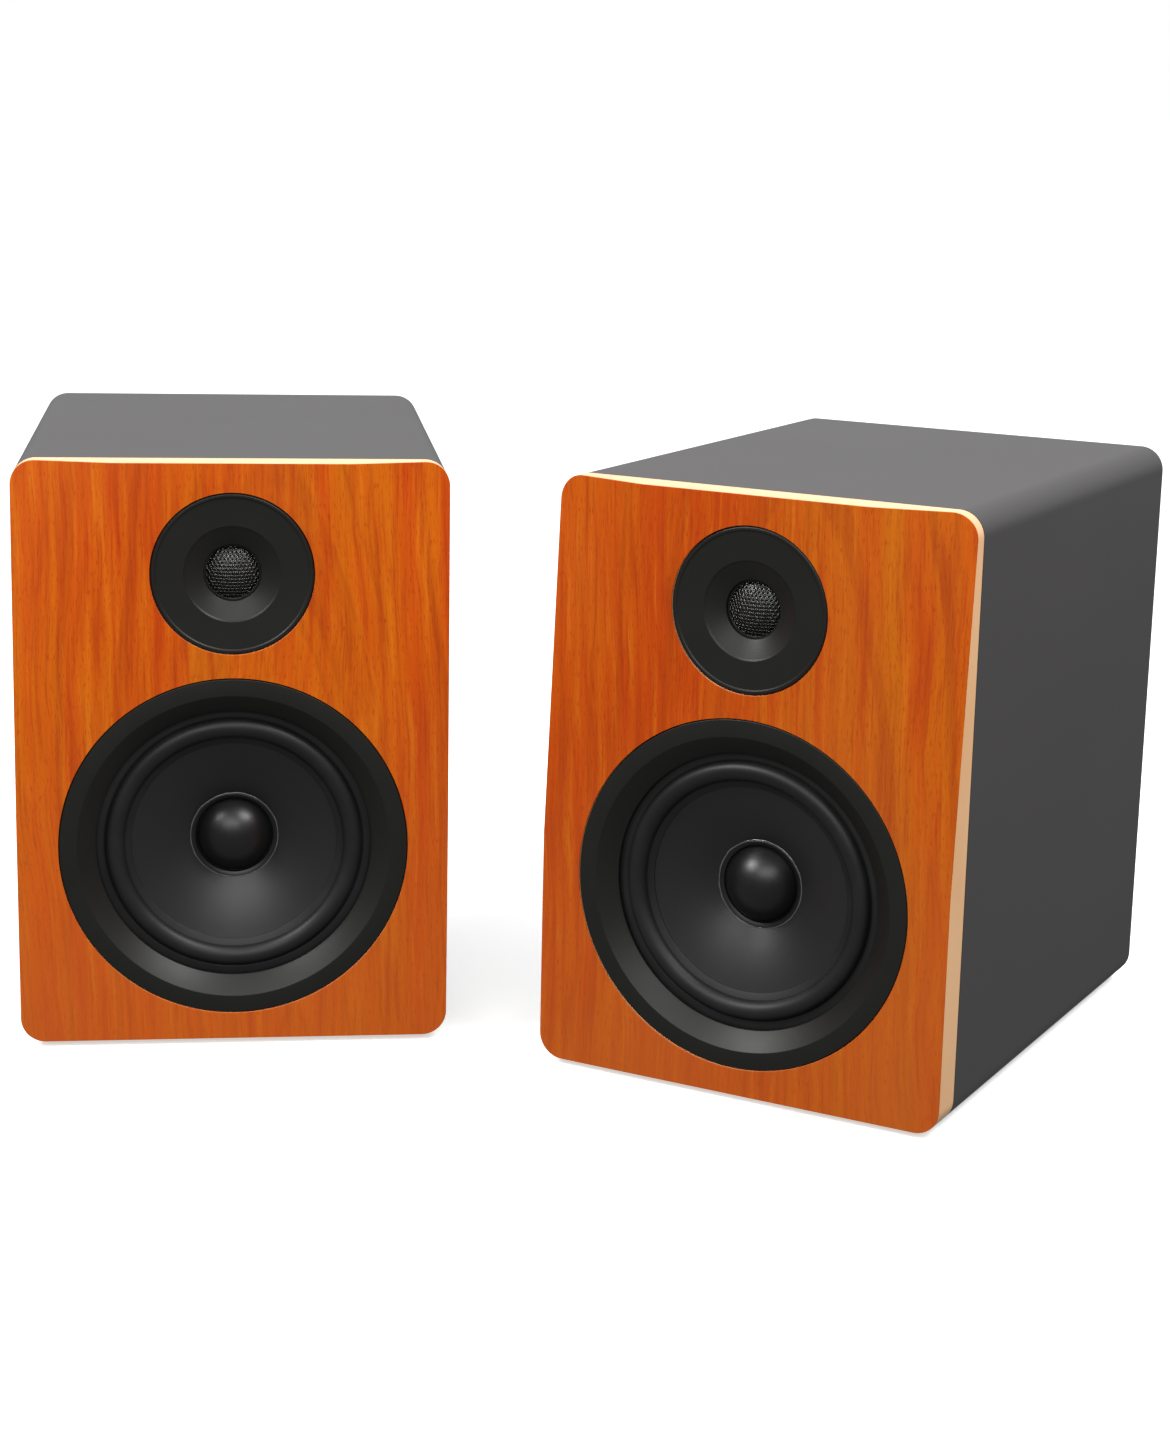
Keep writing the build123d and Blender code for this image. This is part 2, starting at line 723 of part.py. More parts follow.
def tweeter_dome():
    """Soft dome with its flat rim and its coil former, in one piece."""
    back = DOME_RIM_Y + DOME_T
    inner_r = DOME_R - DOME_T
    edges = [
        Line((DOME_RIM_R, DOME_RIM_Y), (DOME_R, DOME_RIM_Y)),
        ThreePointArc(
            (DOME_R, DOME_RIM_Y),
            arc_mid(DOME_R, DOME_H, DOME_RIM_Y),
            (0, DOME_RIM_Y - DOME_H),
        ),
        Line((0, DOME_RIM_Y - DOME_H), (0, back - DOME_H)),
        ThreePointArc((0, back - DOME_H), arc_mid(inner_r, DOME_H, back), (inner_r, back)),
        Polyline(
            (inner_r, back),
            (inner_r, back + DOME_FORMER_L),
            (DOME_R, back + DOME_FORMER_L),
            (DOME_R, back),
            (DOME_RIM_R, back),
            (DOME_RIM_R, DOME_RIM_Y),
        ),
    ]
    return turned_edges(edges, TWEETER_Z)


def tweeter_magnet():
    front = BOSS_END_Y + T_PLATE_T
    return rod(T_MAGNET_R, front, front + T_MAGNET_T, z=TWEETER_Z) - rod(
        T_MAGNET_HOLE_R, 0, DEPTH, z=TWEETER_Z
    )


def tweeter_pole_pieces():
    """Steel top plate, and back plate with the pole."""
    gap_r = DOME_R + COIL_GAP
    pole_r = DOME_R - DOME_T - COIL_GAP
    plate_back = BOSS_END_Y + T_PLATE_T
    yoke_front = plate_back + T_MAGNET_T
    top_plate = rod(T_PLATE_R, BOSS_END_Y, plate_back, z=TWEETER_Z)
    top_plate -= rod(gap_r, 0, DEPTH, z=TWEETER_Z)
    yoke = rod(T_PLATE_R, yoke_front, yoke_front + T_YOKE_T, z=TWEETER_Z)
    yoke += rod(pole_r, BOSS_END_Y + DOME_T, yoke_front, z=TWEETER_Z)
    return [top_plate, yoke]


# ---- spring-clip terminals ---------------------------------------------------------------
def lever_places(block_x):
    """Middles of the red and the black lever across the block."""
    return block_x + LEVER_PITCH / 2, block_x - LEVER_PITCH / 2


def lever_pivot_y():
    return REAR_PLATE_Y + BLOCK_LIP_T - LEVER_T / 2 - LEVER_GAP


def terminal_block(block_x, block_up):
    """Moulded block through its plate, with a slot, a pivot hole and a wire hole per lever."""
    z = BASE + block_up
    front = REAR_PLATE_Y + BLOCK_LIP_T
    body = board(BLOCK_W, BLOCK_H, BLOCK_CORNER_R, front - BLOCK_D, front, block_x, z)
    lip_w, lip_h = BLOCK_W + 2 * BLOCK_LIP, BLOCK_H + 2 * BLOCK_LIP
    body += board(lip_w, lip_h, BLOCK_LIP_CORNER_R, REAR_PLATE_Y, front, block_x, z)
    sweep = math.hypot(LEVER_L, LEVER_T / 2 + LEVER_GRIP)
    slot_top = z + LEVER_TOP + LEVER_T / 2 + LEVER_GAP
    slot_h = sweep + LEVER_T / 2 + 2 * LEVER_GAP
    slot_d = BLOCK_D - SLOT_FLOOR
    wire_z = z - BLOCK_H / 2 + WIRE_HOLE_R + WIRE_EDGE
    for x in lever_places(block_x):
        middle = slot_top - slot_h / 2
        body -= block(LEVER_W + 2 * LEVER_GAP, slot_d, slot_h, x, front - slot_d / 2 + 0.01, middle)
        pivot_l = LEVER_W + 2 * (PIVOT_L + LEVER_GAP)
        body -= cross_rod(PIVOT_R + PIVOT_GAP, pivot_l, x, lever_pivot_y(), z + LEVER_TOP)
        body -= rod(WIRE_HOLE_R, front - WIRE_HOLE_D, front + 1, x, wire_z)
    return body


def lever(block_x, block_up, which):
    """Spring-clip lever: knuckle with two trunnions, a flat arm and a grip ridge at its end."""
    x = lever_places(block_x)[which]
    z = BASE + block_up + LEVER_TOP
    y = lever_pivot_y()
    arm = block(LEVER_W, LEVER_T, LEVER_L, x, y, z - LEVER_L / 2)
    arm += cross_rod(LEVER_T / 2, LEVER_W, x, y, z)
    grip_y = y + LEVER_T / 2 + LEVER_GRIP / 2
    arm += block(LEVER_W, LEVER_GRIP, LEVER_T, x, grip_y, z - LEVER_L + LEVER_T / 2)
    arm += cross_rod(PIVOT_R, LEVER_W + 2 * PIVOT_L, x, y, z)
    return arm


# ---- left speaker's own pieces -----------------------------------------------------------
def terminal_plate():
    plate = board(CUP_W, CUP_H, PLATE_CORNER_R, REAR_Y, REAR_PLATE_Y, z=BASE + CUP_UP)
    plate -= board(BLOCK_W, BLOCK_H, BLOCK_CORNER_R, 0, DEPTH + 1, 0, BASE + CUP_UP)
    for x, z in plate_screw_places(CUP_W, CUP_H, CUP_UP):
        plate -= rod(SCREW_R, 0, DEPTH + 1, x, z)
    return plate


def crossover_board():
    """Circuit board on four posts, with a coil, two capacitors and a resistor."""
    z0 = FLOOR_Z + XOVER_STAND
    z1 = z0 + PCB_T
    pcb = block(XOVER_W, XOVER_D, PCB_T, 0, XOVER_Y, z0 + PCB_T / 2)
    pieces = [pcb]
    for x, y in corners_of(XOVER_W - 2 * POST_EDGE, XOVER_D - 2 * POST_EDGE, XOVER_Y):
        pieces.append(post(POST_R, FLOOR_Z, z0, x, y))
    coil = post(COIL_R, z1, z1 + COIL_H, COIL_X, XOVER_Y)
    pieces.append(coil - post(COIL_HOLE_R, z1, z1 + COIL_H, COIL_X, XOVER_Y))
    for y in (XOVER_Y - XOVER_CAP_Y, XOVER_Y + XOVER_CAP_Y):
        pieces.append(cross_rod(XOVER_CAP_R, XOVER_CAP_L, XOVER_CAP_X, y, z1 + XOVER_CAP_R))
    pieces.append(block(RESISTOR_L, RESISTOR_T, RESISTOR_T, XOVER_CAP_X, XOVER_Y, z1 + RESISTOR_T / 2))
    return pieces


# ---- right speaker's own pieces ----------------------------------------------------------
def amp_plate():
    """Amplifier plate with cooling fins and all its cut-outs."""
    plate = board(AMP_W, AMP_H, PLATE_CORNER_R, REAR_Y, REAR_PLATE_Y, z=BASE + AMP_UP)
    for i in range(FIN_COUNT):
        x = FIN_X + (i - (FIN_COUNT - 1) / 2) * FIN_PITCH
        plate += block(FIN_T, FIN_D, FIN_H, x, REAR_PLATE_Y + FIN_D / 2, BASE + FIN_UP)
    plate -= board(BLOCK_W, BLOCK_H, BLOCK_CORNER_R, 0, DEPTH + 1, AMP_BLOCK_X, BASE + AMP_BLOCK_UP)
    plate -= board(INLET_W, INLET_H, INLET_CORNER_R, 0, DEPTH + 1, INLET_X, BASE + INLET_UP)
    for x in KNOB_X:
        plate -= rod(SHAFT_HOLE_R, 0, DEPTH + 1, x, BASE + KNOB_UP)
    for x in JACK_X:
        plate -= rod(JACK_R, 0, DEPTH + 1, x, BASE + JACK_UP)
    plate -= rod(AUX_R, 0, DEPTH + 1, AUX_X, BASE + JACK_UP)
    plate -= rod(LAMP_R, 0, DEPTH + 1, LAMP_X, BASE + KNOB_UP)
    for x, z in plate_screw_places(AMP_W, AMP_H, AMP_UP):
        plate -= rod(SCREW_R, 0, DEPTH + 1, x, z)
    return plate


def amp_board():
    """Circuit board on posts behind the plate, with capacitors, and the pots' bodies."""
    back = REAR_Y - BOARD_STAND
    z = BASE + BOARD_UP
    pcb = board(BOARD_W, BOARD_H, 2.0, back - PCB_T, back, z=z)
    pieces = [pcb]
    for x, zz in corners_of(BOARD_W - 2 * POST_EDGE, BOARD_H - 2 * POST_EDGE, z):
        pieces.append(rod(POST_R, back, REAR_Y, x, zz))
    front = back - PCB_T
    for x in CAP_CAN_X:
        pieces.append(rod(CAP_CAN_R, front - CAP_CAN_L, front, x, z - CAP_CAN_DOWN))
    pieces.append(block(SINK_W, SINK_D, SINK_H, SINK_X, front - SINK_D / 2, z + SINK_UP))
    for x in KNOB_X:
        body = block(POT_W, POT_T, POT_W, x, REAR_Y - POT_T / 2, BASE + KNOB_UP)
        bore = rod(SHAFT_R + SHAFT_FIT, REAR_Y - POT_T + POT_FLOOR, DEPTH, x, BASE + KNOB_UP)
        pieces.append(body - bore)
    return pieces


def knob(which):
    """Fluted knob with a pointer groove, on its shaft."""
    x, radius = KNOB_X[which], KNOB_R[which]
    z = BASE + KNOB_UP
    start = REAR_PLATE_Y + KNOB_GAP
    end = start + KNOB_L
    cap = rod(radius, start, end, x, z)
    cap = chamfer(cap.edges().group_by(Axis.Y)[-1], KNOB_EDGE)
    for i in range(FLUTES):
        angle = 2 * math.pi * (i + 0.5) / FLUTES
        flute_x, flute_z = x + radius * math.cos(angle), z + radius * math.sin(angle)
        cap -= rod(FLUTE_R, start + FLUTE_START, end + 1, flute_x, flute_z)
    cap -= block(KNOB_MARK, KNOB_MARK_D, radius, x, end, z + radius / 2 + 1)
    cap -= rod(SHAFT_R, start - 1, end - KNOB_FACE_T, x, z)
    shaft = rod(SHAFT_R, REAR_Y - POT_T + POT_FLOOR + SHAFT_END_GAP, end - KNOB_FACE_T, x, z)
    return [cap, shaft]


def transformer():
    """Laminated core standing on the cabinet floor, with its winding bobbin through it."""
    z = FLOOR_Z + TRANSFORMER_H / 2
    core = block(TRANSFORMER_W, TRANSFORMER_D, TRANSFORMER_H, 0, TRANSFORMER_Y, z)
    bobbin = block(BOBBIN_W, BOBBIN_D, BOBBIN_H, 0, TRANSFORMER_Y, z)
    return [core - bobbin, bobbin]


def mains_inlet():
    """Moulded module: a two-pin socket beside the recess of the power rocker."""
    z = BASE + INLET_UP
    front = REAR_PLATE_Y + INLET_LIP_T
    body = board(INLET_W, INLET_H, INLET_CORNER_R, front - INLET_D, front, INLET_X, z)
    lip_w, lip_h = INLET_W + 2 * INLET_LIP, INLET_H + 2 * INLET_LIP
    body += board(lip_w, lip_h, INLET_LIP_CORNER_R, REAR_PLATE_Y, front, INLET_X, z)
    round_end = SOCKET_H / 2 - SOCKET_FLAT
    body -= board(SOCKET_W, SOCKET_H, round_end, front - SOCKET_D, front + 1, INLET_X + SOCKET_X, z)
    for side in (-1, 1):
        x = INLET_X + SOCKET_X + side * PIN_PITCH / 2
        body += rod(PIN_R, front - SOCKET_D - PIN_ROOT, front - SOCKET_D + PIN_L, x, z)
    x = INLET_X + ROCKER_X
    well_h = ROCKER_H + 2 * ROCKER_GAP + ROCKER_T * math.sin(math.radians(ROCKER_TILT))
    well_d = ROCKER_T + ROCKER_WELL
    body -= block(ROCKER_W + 2 * ROCKER_GAP, well_d, well_h, x, front - well_d / 2 + 0.01, z)
    pin_l = ROCKER_W + 2 * (ROCKER_PIN_L + ROCKER_GAP)
    body -= cross_rod(ROCKER_PIN_R + PIVOT_GAP, pin_l, x, rocker_y(), z)
    return body


def rocker_y():
    """Depth of the rocker's pivot."""
    return REAR_PLATE_Y + INLET_LIP_T - ROCKER_T / 2


def power_rocker():
    """Rocker with a shallow valley across its face, resting with its lower half pressed in."""
    half_h, half_t = ROCKER_H / 2, ROCKER_T / 2
    outline = [
        (-half_t, -half_h + ROCKER_TAPER),
        (half_t + ROCKER_RISE, -half_h),
        (half_t - ROCKER_DIP, 0),
        (half_t + ROCKER_RISE, half_h),
        (-half_t, half_h - ROCKER_TAPER),
    ]
    face = Plane.YZ * make_face(Polyline(*outline, close=True))
    body = Pos(-ROCKER_W / 2, 0, 0) * extrude(face, ROCKER_W)
    body += cross_rod(ROCKER_PIN_R, ROCKER_W + 2 * ROCKER_PIN_L, 0, 0, 0)
    return Pos(INLET_X + ROCKER_X, rocker_y(), BASE + INLET_UP) * Rot(-ROCKER_TILT, 0, 0) * body


def input_jacks():
    """Two phono sockets and one mini jack, each with its body behind the plate."""
    z = BASE + JACK_UP
    pieces = []
    for x in JACK_X:
        jack = rod(JACK_R, REAR_Y, REAR_PLATE_Y + JACK_L, x, z)
        jack += rod(JACK_COLLAR_R, REAR_PLATE_Y, REAR_PLATE_Y + JACK_COLLAR_T, x, z)
        jack += block(JACK_BODY, JACK_BODY, JACK_BODY, x, REAR_Y - JACK_BODY / 2, z)
        pieces.append(jack - rod(JACK_BORE_R, REAR_Y, DEPTH + JACK_L, x, z))
    aux = rod(AUX_R, REAR_Y, REAR_PLATE_Y + AUX_L, AUX_X, z)
    aux += block(JACK_BODY, AUX_DEPTH, JACK_BODY, AUX_X, REAR_Y - AUX_DEPTH / 2, z)
    end = REAR_PLATE_Y + AUX_L
    pieces.append(aux - rod(AUX_BORE_R, end - AUX_DEPTH, end + 1, AUX_X, z))
    return pieces


def status_lamp():
    end = REAR_PLATE_Y + LAMP_PROUD
    return rod(LAMP_R, end - LAMP_L, end, LAMP_X, BASE + KNOB_UP)


# ---- the pair ----------------------------------------------------------------------------
def common_nodes(plate_w, plate_h, plate_up):
    """Pieces that both speakers have."""
    return {
        "baffle": baffle(),
        "front_veneer": front_veneer(),
        "sleeve": sleeve(),
        "rear_panel": rear_panel(plate_w, plate_h, plate_up),
        "feet": feet(),
        "screws": screws(plate_w, plate_h, plate_up),
        "port_tube": port_tube(),
        "woofer_trim_ring": woofer_trim_ring(),
        "woofer_basket": woofer_basket(),
        "woofer_surround": woofer_surround(),
        "woofer_cone": woofer_cone(),
        "woofer_dust_cap": woofer_dust_cap(),
        "woofer_voice_coil": woofer_voice_coil(),
        "woofer_spider": woofer_spider(),
        "woofer_magnet": woofer_magnet(),
        "woofer_pole_pieces": woofer_pole_pieces(),
        "tweeter_faceplate": tweeter_faceplate(),
        "tweeter_grille": tweeter_grille(),
        "tweeter_dome": tweeter_dome(),
        "tweeter_magnet": tweeter_magnet(),
        "tweeter_pole_pieces": tweeter_pole_pieces(),
    }


def left_nodes():
    """The passive speaker."""
    nodes = common_nodes(CUP_W, CUP_H, CUP_UP)
    nodes["terminal_plate"] = terminal_plate()
    nodes["terminal_block"] = terminal_block(0.0, CUP_UP)
    nodes["red_lever"] = lever(0.0, CUP_UP, 0)
    nodes["black_lever"] = lever(0.0, CUP_UP, 1)
    nodes["crossover_board"] = crossover_board()
    return nodes


def right_nodes():
    """The powered speaker."""
    nodes = common_nodes(AMP_W, AMP_H, AMP_UP)
    nodes["amp_plate"] = amp_plate()
    nodes["amp_board"] = amp_board()
    nodes["transformer"] = transformer()
    nodes["volume_knob"] = knob(0)
    nodes["treble_knob"] = knob(1)
    nodes["bass_knob"] = knob(2)
    nodes["mains_inlet"] = mains_inlet()
    nodes["power_rocker"] = power_rocker()
    nodes["input_jacks"] = input_jacks()
    nodes["status_lamp"] = status_lamp()
    nodes["terminal_block"] = terminal_block(AMP_BLOCK_X, AMP_BLOCK_UP)
    nodes["red_lever"] = lever(AMP_BLOCK_X, AMP_BLOCK_UP, 0)
    nodes["black_lever"] = lever(AMP_BLOCK_X, AMP_BLOCK_UP, 1)
    return nodes


def placed(shape, side):
    """Stand a piece at its speaker's place: side is -1 for the left speaker, 1 for the right."""
    stand = Pos(side * SPACING / 2, PAIR_Y - side * STAGGER / 2, 0) * Rot(0, 0, -side * TOE_IN)
    pieces = shape if isinstance(shape, list) else shape.solids()
    moved = [stand * piece for piece in pieces]
    return moved[0] if len(moved) == 1 else Compound(children=moved)


def main():
    os.makedirs("parts", exist_ok=True)
    for name, side, nodes in (("left", -1, left_nodes()), ("right", 1, right_nodes())):
        for node, shape in nodes.items():
            export_step(placed(shape, side), f"parts/{name}_{node}.step")


if __name__ == "__main__":
    main()
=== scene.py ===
"""A pair of two-way desktop loudspeakers in a pale studio.

Lengths are in millimetres in every class; a Stand turns them into metres in the shared frame.
A speaker's own axes are X across its front, Y from the front plane into the cabinet, Z up.
"""
import json
import logging
import math
from dataclasses import dataclass, field
from enum import Enum
from typing import Any, Iterable, Mapping, Optional, Sequence, Union

import bmesh
import bpy
from mathutils import Matrix, Vector, noise


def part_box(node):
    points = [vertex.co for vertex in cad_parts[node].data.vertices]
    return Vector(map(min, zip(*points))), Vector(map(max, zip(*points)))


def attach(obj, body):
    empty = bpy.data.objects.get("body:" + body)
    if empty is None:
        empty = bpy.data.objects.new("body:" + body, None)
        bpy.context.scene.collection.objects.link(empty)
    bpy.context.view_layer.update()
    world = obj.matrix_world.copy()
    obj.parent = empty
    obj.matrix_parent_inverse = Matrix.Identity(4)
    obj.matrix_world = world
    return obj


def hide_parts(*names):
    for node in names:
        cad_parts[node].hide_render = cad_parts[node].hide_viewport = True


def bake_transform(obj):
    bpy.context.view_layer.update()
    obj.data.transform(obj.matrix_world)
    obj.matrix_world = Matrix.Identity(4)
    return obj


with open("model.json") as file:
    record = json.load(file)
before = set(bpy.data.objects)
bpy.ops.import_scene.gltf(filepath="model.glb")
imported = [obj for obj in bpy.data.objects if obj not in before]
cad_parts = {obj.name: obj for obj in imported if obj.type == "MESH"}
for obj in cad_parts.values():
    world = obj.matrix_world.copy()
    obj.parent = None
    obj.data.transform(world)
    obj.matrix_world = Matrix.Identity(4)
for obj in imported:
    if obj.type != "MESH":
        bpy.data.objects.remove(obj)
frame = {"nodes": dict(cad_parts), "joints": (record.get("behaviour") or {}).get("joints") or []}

LOG = logging.getLogger("speakers")
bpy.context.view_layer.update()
MM = 0.001

Point = tuple[float, float]
Spot = tuple[float, float, float]
Colour = tuple[float, float, float]
Number = Union[float, "Signal"]
Settings = Optional[Mapping[str, object]]
Inputs = Optional[Mapping[Union[str, int], object]]


# ---- shader maths --------------------------------------------------------------------------
class Signal:
    """One output socket of a node tree, with arithmetic that adds Math nodes."""

    def __init__(self, graph: "Graph", socket: bpy.types.NodeSocket) -> None:
        """Keep the socket and the graph it belongs to."""
        self.graph = graph
        self.socket = socket

    def _math(self, operation: str, first: Number, second: Number) -> "Signal":
        """Add a Math node.

        Args:
            operation: the node's operation.
            first: its first value.
            second: its second value.

        Returns:
            The node's output.
        """
        return self.graph.add("ShaderNodeMath", {"operation": operation}, {0: first, 1: second})

    def __add__(self, other: Number) -> "Signal":
        """Sum."""
        return self._math("ADD", self, other)

    def __radd__(self, other: Number) -> "Signal":
        """Sum, reflected."""
        return self._math("ADD", other, self)

    def __sub__(self, other: Number) -> "Signal":
        """Difference."""
        return self._math("SUBTRACT", self, other)

    def __rsub__(self, other: Number) -> "Signal":
        """Difference, reflected."""
        return self._math("SUBTRACT", other, self)

    def __mul__(self, other: Number) -> "Signal":
        """Product."""
        return self._math("MULTIPLY", self, other)

    def __rmul__(self, other: Number) -> "Signal":
        """Product, reflected."""
        return self._math("MULTIPLY", other, self)

    def __pow__(self, other: Number) -> "Signal":
        """Power."""
        return self._math("POWER", self, other)

    def stepped(self, low: float, high: float) -> "Signal":
        """Ease from 0 at low to 1 at high."""
        return self.graph.add(
            "ShaderNodeMapRange",
            {"interpolation_type": "SMOOTHSTEP"},
            {"Value": self, "From Min": low, "From Max": high},
        )


class Graph:
    """The node tree of one material or world."""

    def __init__(self, owner: Union[bpy.types.Material, bpy.types.World]) -> None:
        """Start with an empty tree."""
        self.owner = owner
        owner.use_nodes = True
        self.tree = owner.node_tree
        self.tree.nodes.clear()

    @classmethod
    def material(cls, name: str) -> "Graph":
        """Start a material of that name."""
        return cls(bpy.data.materials.new(name))

    def node(self, kind: str, settings: Settings = None, inputs: Inputs = None) -> bpy.types.Node:
        """Make any node.

        Args:
            kind: the node's type.
            settings: its properties; "stops" holds a ramp's (position, colour) pairs.
            inputs: values or signals, by socket name or index.

        Returns:
            The node.
        """
        made = self.tree.nodes.new(kind)
        for key, value in (settings or {}).items():
            if key == "stops":
                self._set_stops(made.color_ramp, value)
            else:
                setattr(made, key, value)
        for key, value in (inputs or {}).items():
            self._feed(made.inputs[key], value)
        return made

    def add(
        self, kind: str, settings: Settings = None, inputs: Inputs = None, output: Union[str, int] = 0
    ) -> Signal:
        """Make any node and return one of its outputs."""
        return Signal(self, self.node(kind, settings, inputs).outputs[output])

    def _feed(self, socket: bpy.types.NodeSocket, value: object) -> None:
        """Link a signal to a socket, or set its value."""
        if isinstance(value, Signal):
            self.tree.links.new(value.socket, socket)
        elif socket.type == "RGBA":
            socket.default_value = (*value[:3], 1.0)
        else:
            socket.default_value = value

    @staticmethod
    def _set_stops(ramp: bpy.types.ColorRamp, stops: Sequence[tuple[float, Colour]]) -> None:
        """Give a ramp its stops."""
        while len(ramp.elements) < len(stops):
            ramp.elements.new(1.0)
        for element, (position, colour) in zip(ramp.elements, stops):
            element.position = position
            element.color = (*colour, 1.0)

    def local(self, origin: Spot = (0, 0, 0), yaw: float = 0.0) -> Signal:
        """Object coordinates in metres, moved to an origin and turned by a yaw."""
        place = self.add("ShaderNodeTexCoord", output="Object")
        return self.add(
            "ShaderNodeMapping",
            {"vector_type": "TEXTURE"},
            {"Vector": place, "Location": origin, "Rotation": (0, 0, yaw)},
        )

    def scaled(self, vector: Signal, scale: Spot, shift: Spot = (0, 0, 0)) -> Signal:
        """Stretch coordinates along each axis, then shift them."""
        return self.add("ShaderNodeMapping", {}, {"Vector": vector, "Scale": scale, "Location": shift})

    def apart(self, vector: Signal, axis: str) -> Signal:
        """One part of a vector."""
        return self.add("ShaderNodeSeparateXYZ", {}, {0: vector}, axis)

    def joined(self, x: Number, y: Number, z: Number) -> Signal:
        """Vector of three parts."""
        return self.add("ShaderNodeCombineXYZ", {}, {0: x, 1: y, 2: z})

    def noise(self, vector: Signal, scale: float, detail: float = 2.0, rough: float = 0.5) -> Signal:
        """Noise between 0 and 1."""
        values = {"Vector": vector, "Scale": scale, "Detail": detail, "Roughness": rough}
        return self.add("ShaderNodeTexNoise", {}, values)

    def mixed(self, share: Number, first: object, second: object) -> Signal:
        """Blend two colours by a share."""
        return self.add("ShaderNodeMix", {"data_type": "RGBA"}, {0: share, 6: first, 7: second}, 2)

    def bumped(self, height: Signal, depth: float) -> Signal:
        """Normal of a relief whose height of 1 stands for a depth in metres."""
        return self.add("ShaderNodeBump", {}, {"Height": height, "Distance": depth})

    def close(self, shader: bpy.types.Node, kind: str = "ShaderNodeOutputMaterial") -> None:
        """Send a shader to the tree's output."""
        self.tree.links.new(shader.outputs[0], self.node(kind).inputs["Surface"])

    def finish(self, inputs: Mapping[str, object]) -> bpy.types.Material:
        """Close the tree with a Principled shader and return the material."""
        self.close(self.node("ShaderNodeBsdfPrincipled", {}, inputs))
        return self.owner


def paint(red: int, green: int, blue: int) -> Colour:
    """Linear colour of a paint chart's 0 to 255 values."""
    return tuple(
        c / 12.92 if c <= 0.04045 else ((c + 0.055) / 1.055) ** 2.4
        for c in (red / 255, green / 255, blue / 255)
    )


# ---- finishes ------------------------------------------------------------------------------
@dataclass(frozen=True)
class MouldedPlastic:
    """Fine-textured black moulding: trim ring, tweeter plate, port and terminals."""

    name: str
    colour: Colour
    rough: float = 0.42
    grain: float = 900.0
    depth: float = 0.00003
    shine: float = 0.3

    def build(self) -> bpy.types.Material:
        """Make the material."""
        graph = Graph.material(self.name)
        place = graph.local()
        spark = graph.noise(place, self.grain, 3.0, 0.6)
        cloud = graph.noise(place, 35.0, 2.0)
        tint = graph.mixed(cloud * 0.35, self.colour, tuple(c * 1.35 for c in self.colour))
        return graph.finish(
            {
                "Base Color": tint,
                "Roughness": self.rough + 0.12 * cloud - 0.06,
                "Specular IOR Level": self.shine,
                "Normal": graph.bumped(spark, self.depth),
            }
        )


@dataclass(frozen=True)
class Rubber:
    """Soft black rubber of surrounds and feet, with a faint bloom."""

    name: str = "surround_rubber"
    colour: Colour = paint(24, 24, 24)
    bloom: Colour = paint(34, 34, 34)

    def build(self) -> bpy.types.Material:
        """Make the material."""
        graph = Graph.material(self.name)
        place = graph.local()
        cloud = graph.noise(place, 60.0, 3.0)
        pores = graph.noise(place, 1600.0, 2.0)
        return graph.finish(
            {
                "Base Color": graph.mixed(cloud.stepped(0.35, 0.8) * 0.4, self.colour, self.bloom),
                "Roughness": 0.42 + 0.1 * cloud,
                "Specular IOR Level": 0.35,
                "Normal": graph.bumped(pores, 0.00002),
            }
        )


@dataclass(frozen=True)
class ConeFinish:
    """Matte moulded cone with a fine mineral fleck."""

    name: str = "cone_moulding"
    colour: Colour = paint(30, 30, 30)
    fleck: Colour = paint(52, 52, 51)

    def build(self) -> bpy.types.Material:
        """Make the material."""
        graph = Graph.material(self.name)
        place = graph.local()
        dots = graph.noise(place, 2400.0, 2.0, 0.7)
        cloud = graph.noise(place, 45.0, 2.0)
        tint = graph.mixed(dots.stepped(0.56, 0.78) * 0.5, self.colour, self.fleck)
        return graph.finish(
            {
                "Base Color": tint,
                "Roughness": 0.34 + 0.06 * cloud,
                "Specular IOR Level": 0.45,
                "Normal": graph.bumped(dots, 0.00004),
            }
        )


@dataclass(frozen=True)
class SatinFinish:
    """Even satin or gloss surface: dust cap, glue, knobs and levers."""

    name: str
    colour: Colour
    rough: float = 0.3
    metallic: float = 0.0
    coat: float = 0.0
    ripple: float = 0.00002

    def build(self) -> bpy.types.Material:
        """Make the material."""
        graph = Graph.material(self.name)
        place = graph.local()
        cloud = graph.noise(place, 90.0, 2.0)
        wear = graph.noise(place, 700.0, 3.0)
        return graph.finish(
            {
                "Base Color": graph.mixed(cloud * 0.3, self.colour, tuple(1.25 * c for c in self.colour)),
                "Roughness": self.rough + 0.1 * (wear - 0.5),
                "Metallic": self.metallic,
                "Coat Weight": self.coat,
                "Normal": graph.bumped(wear, self.ripple),
            }
        )


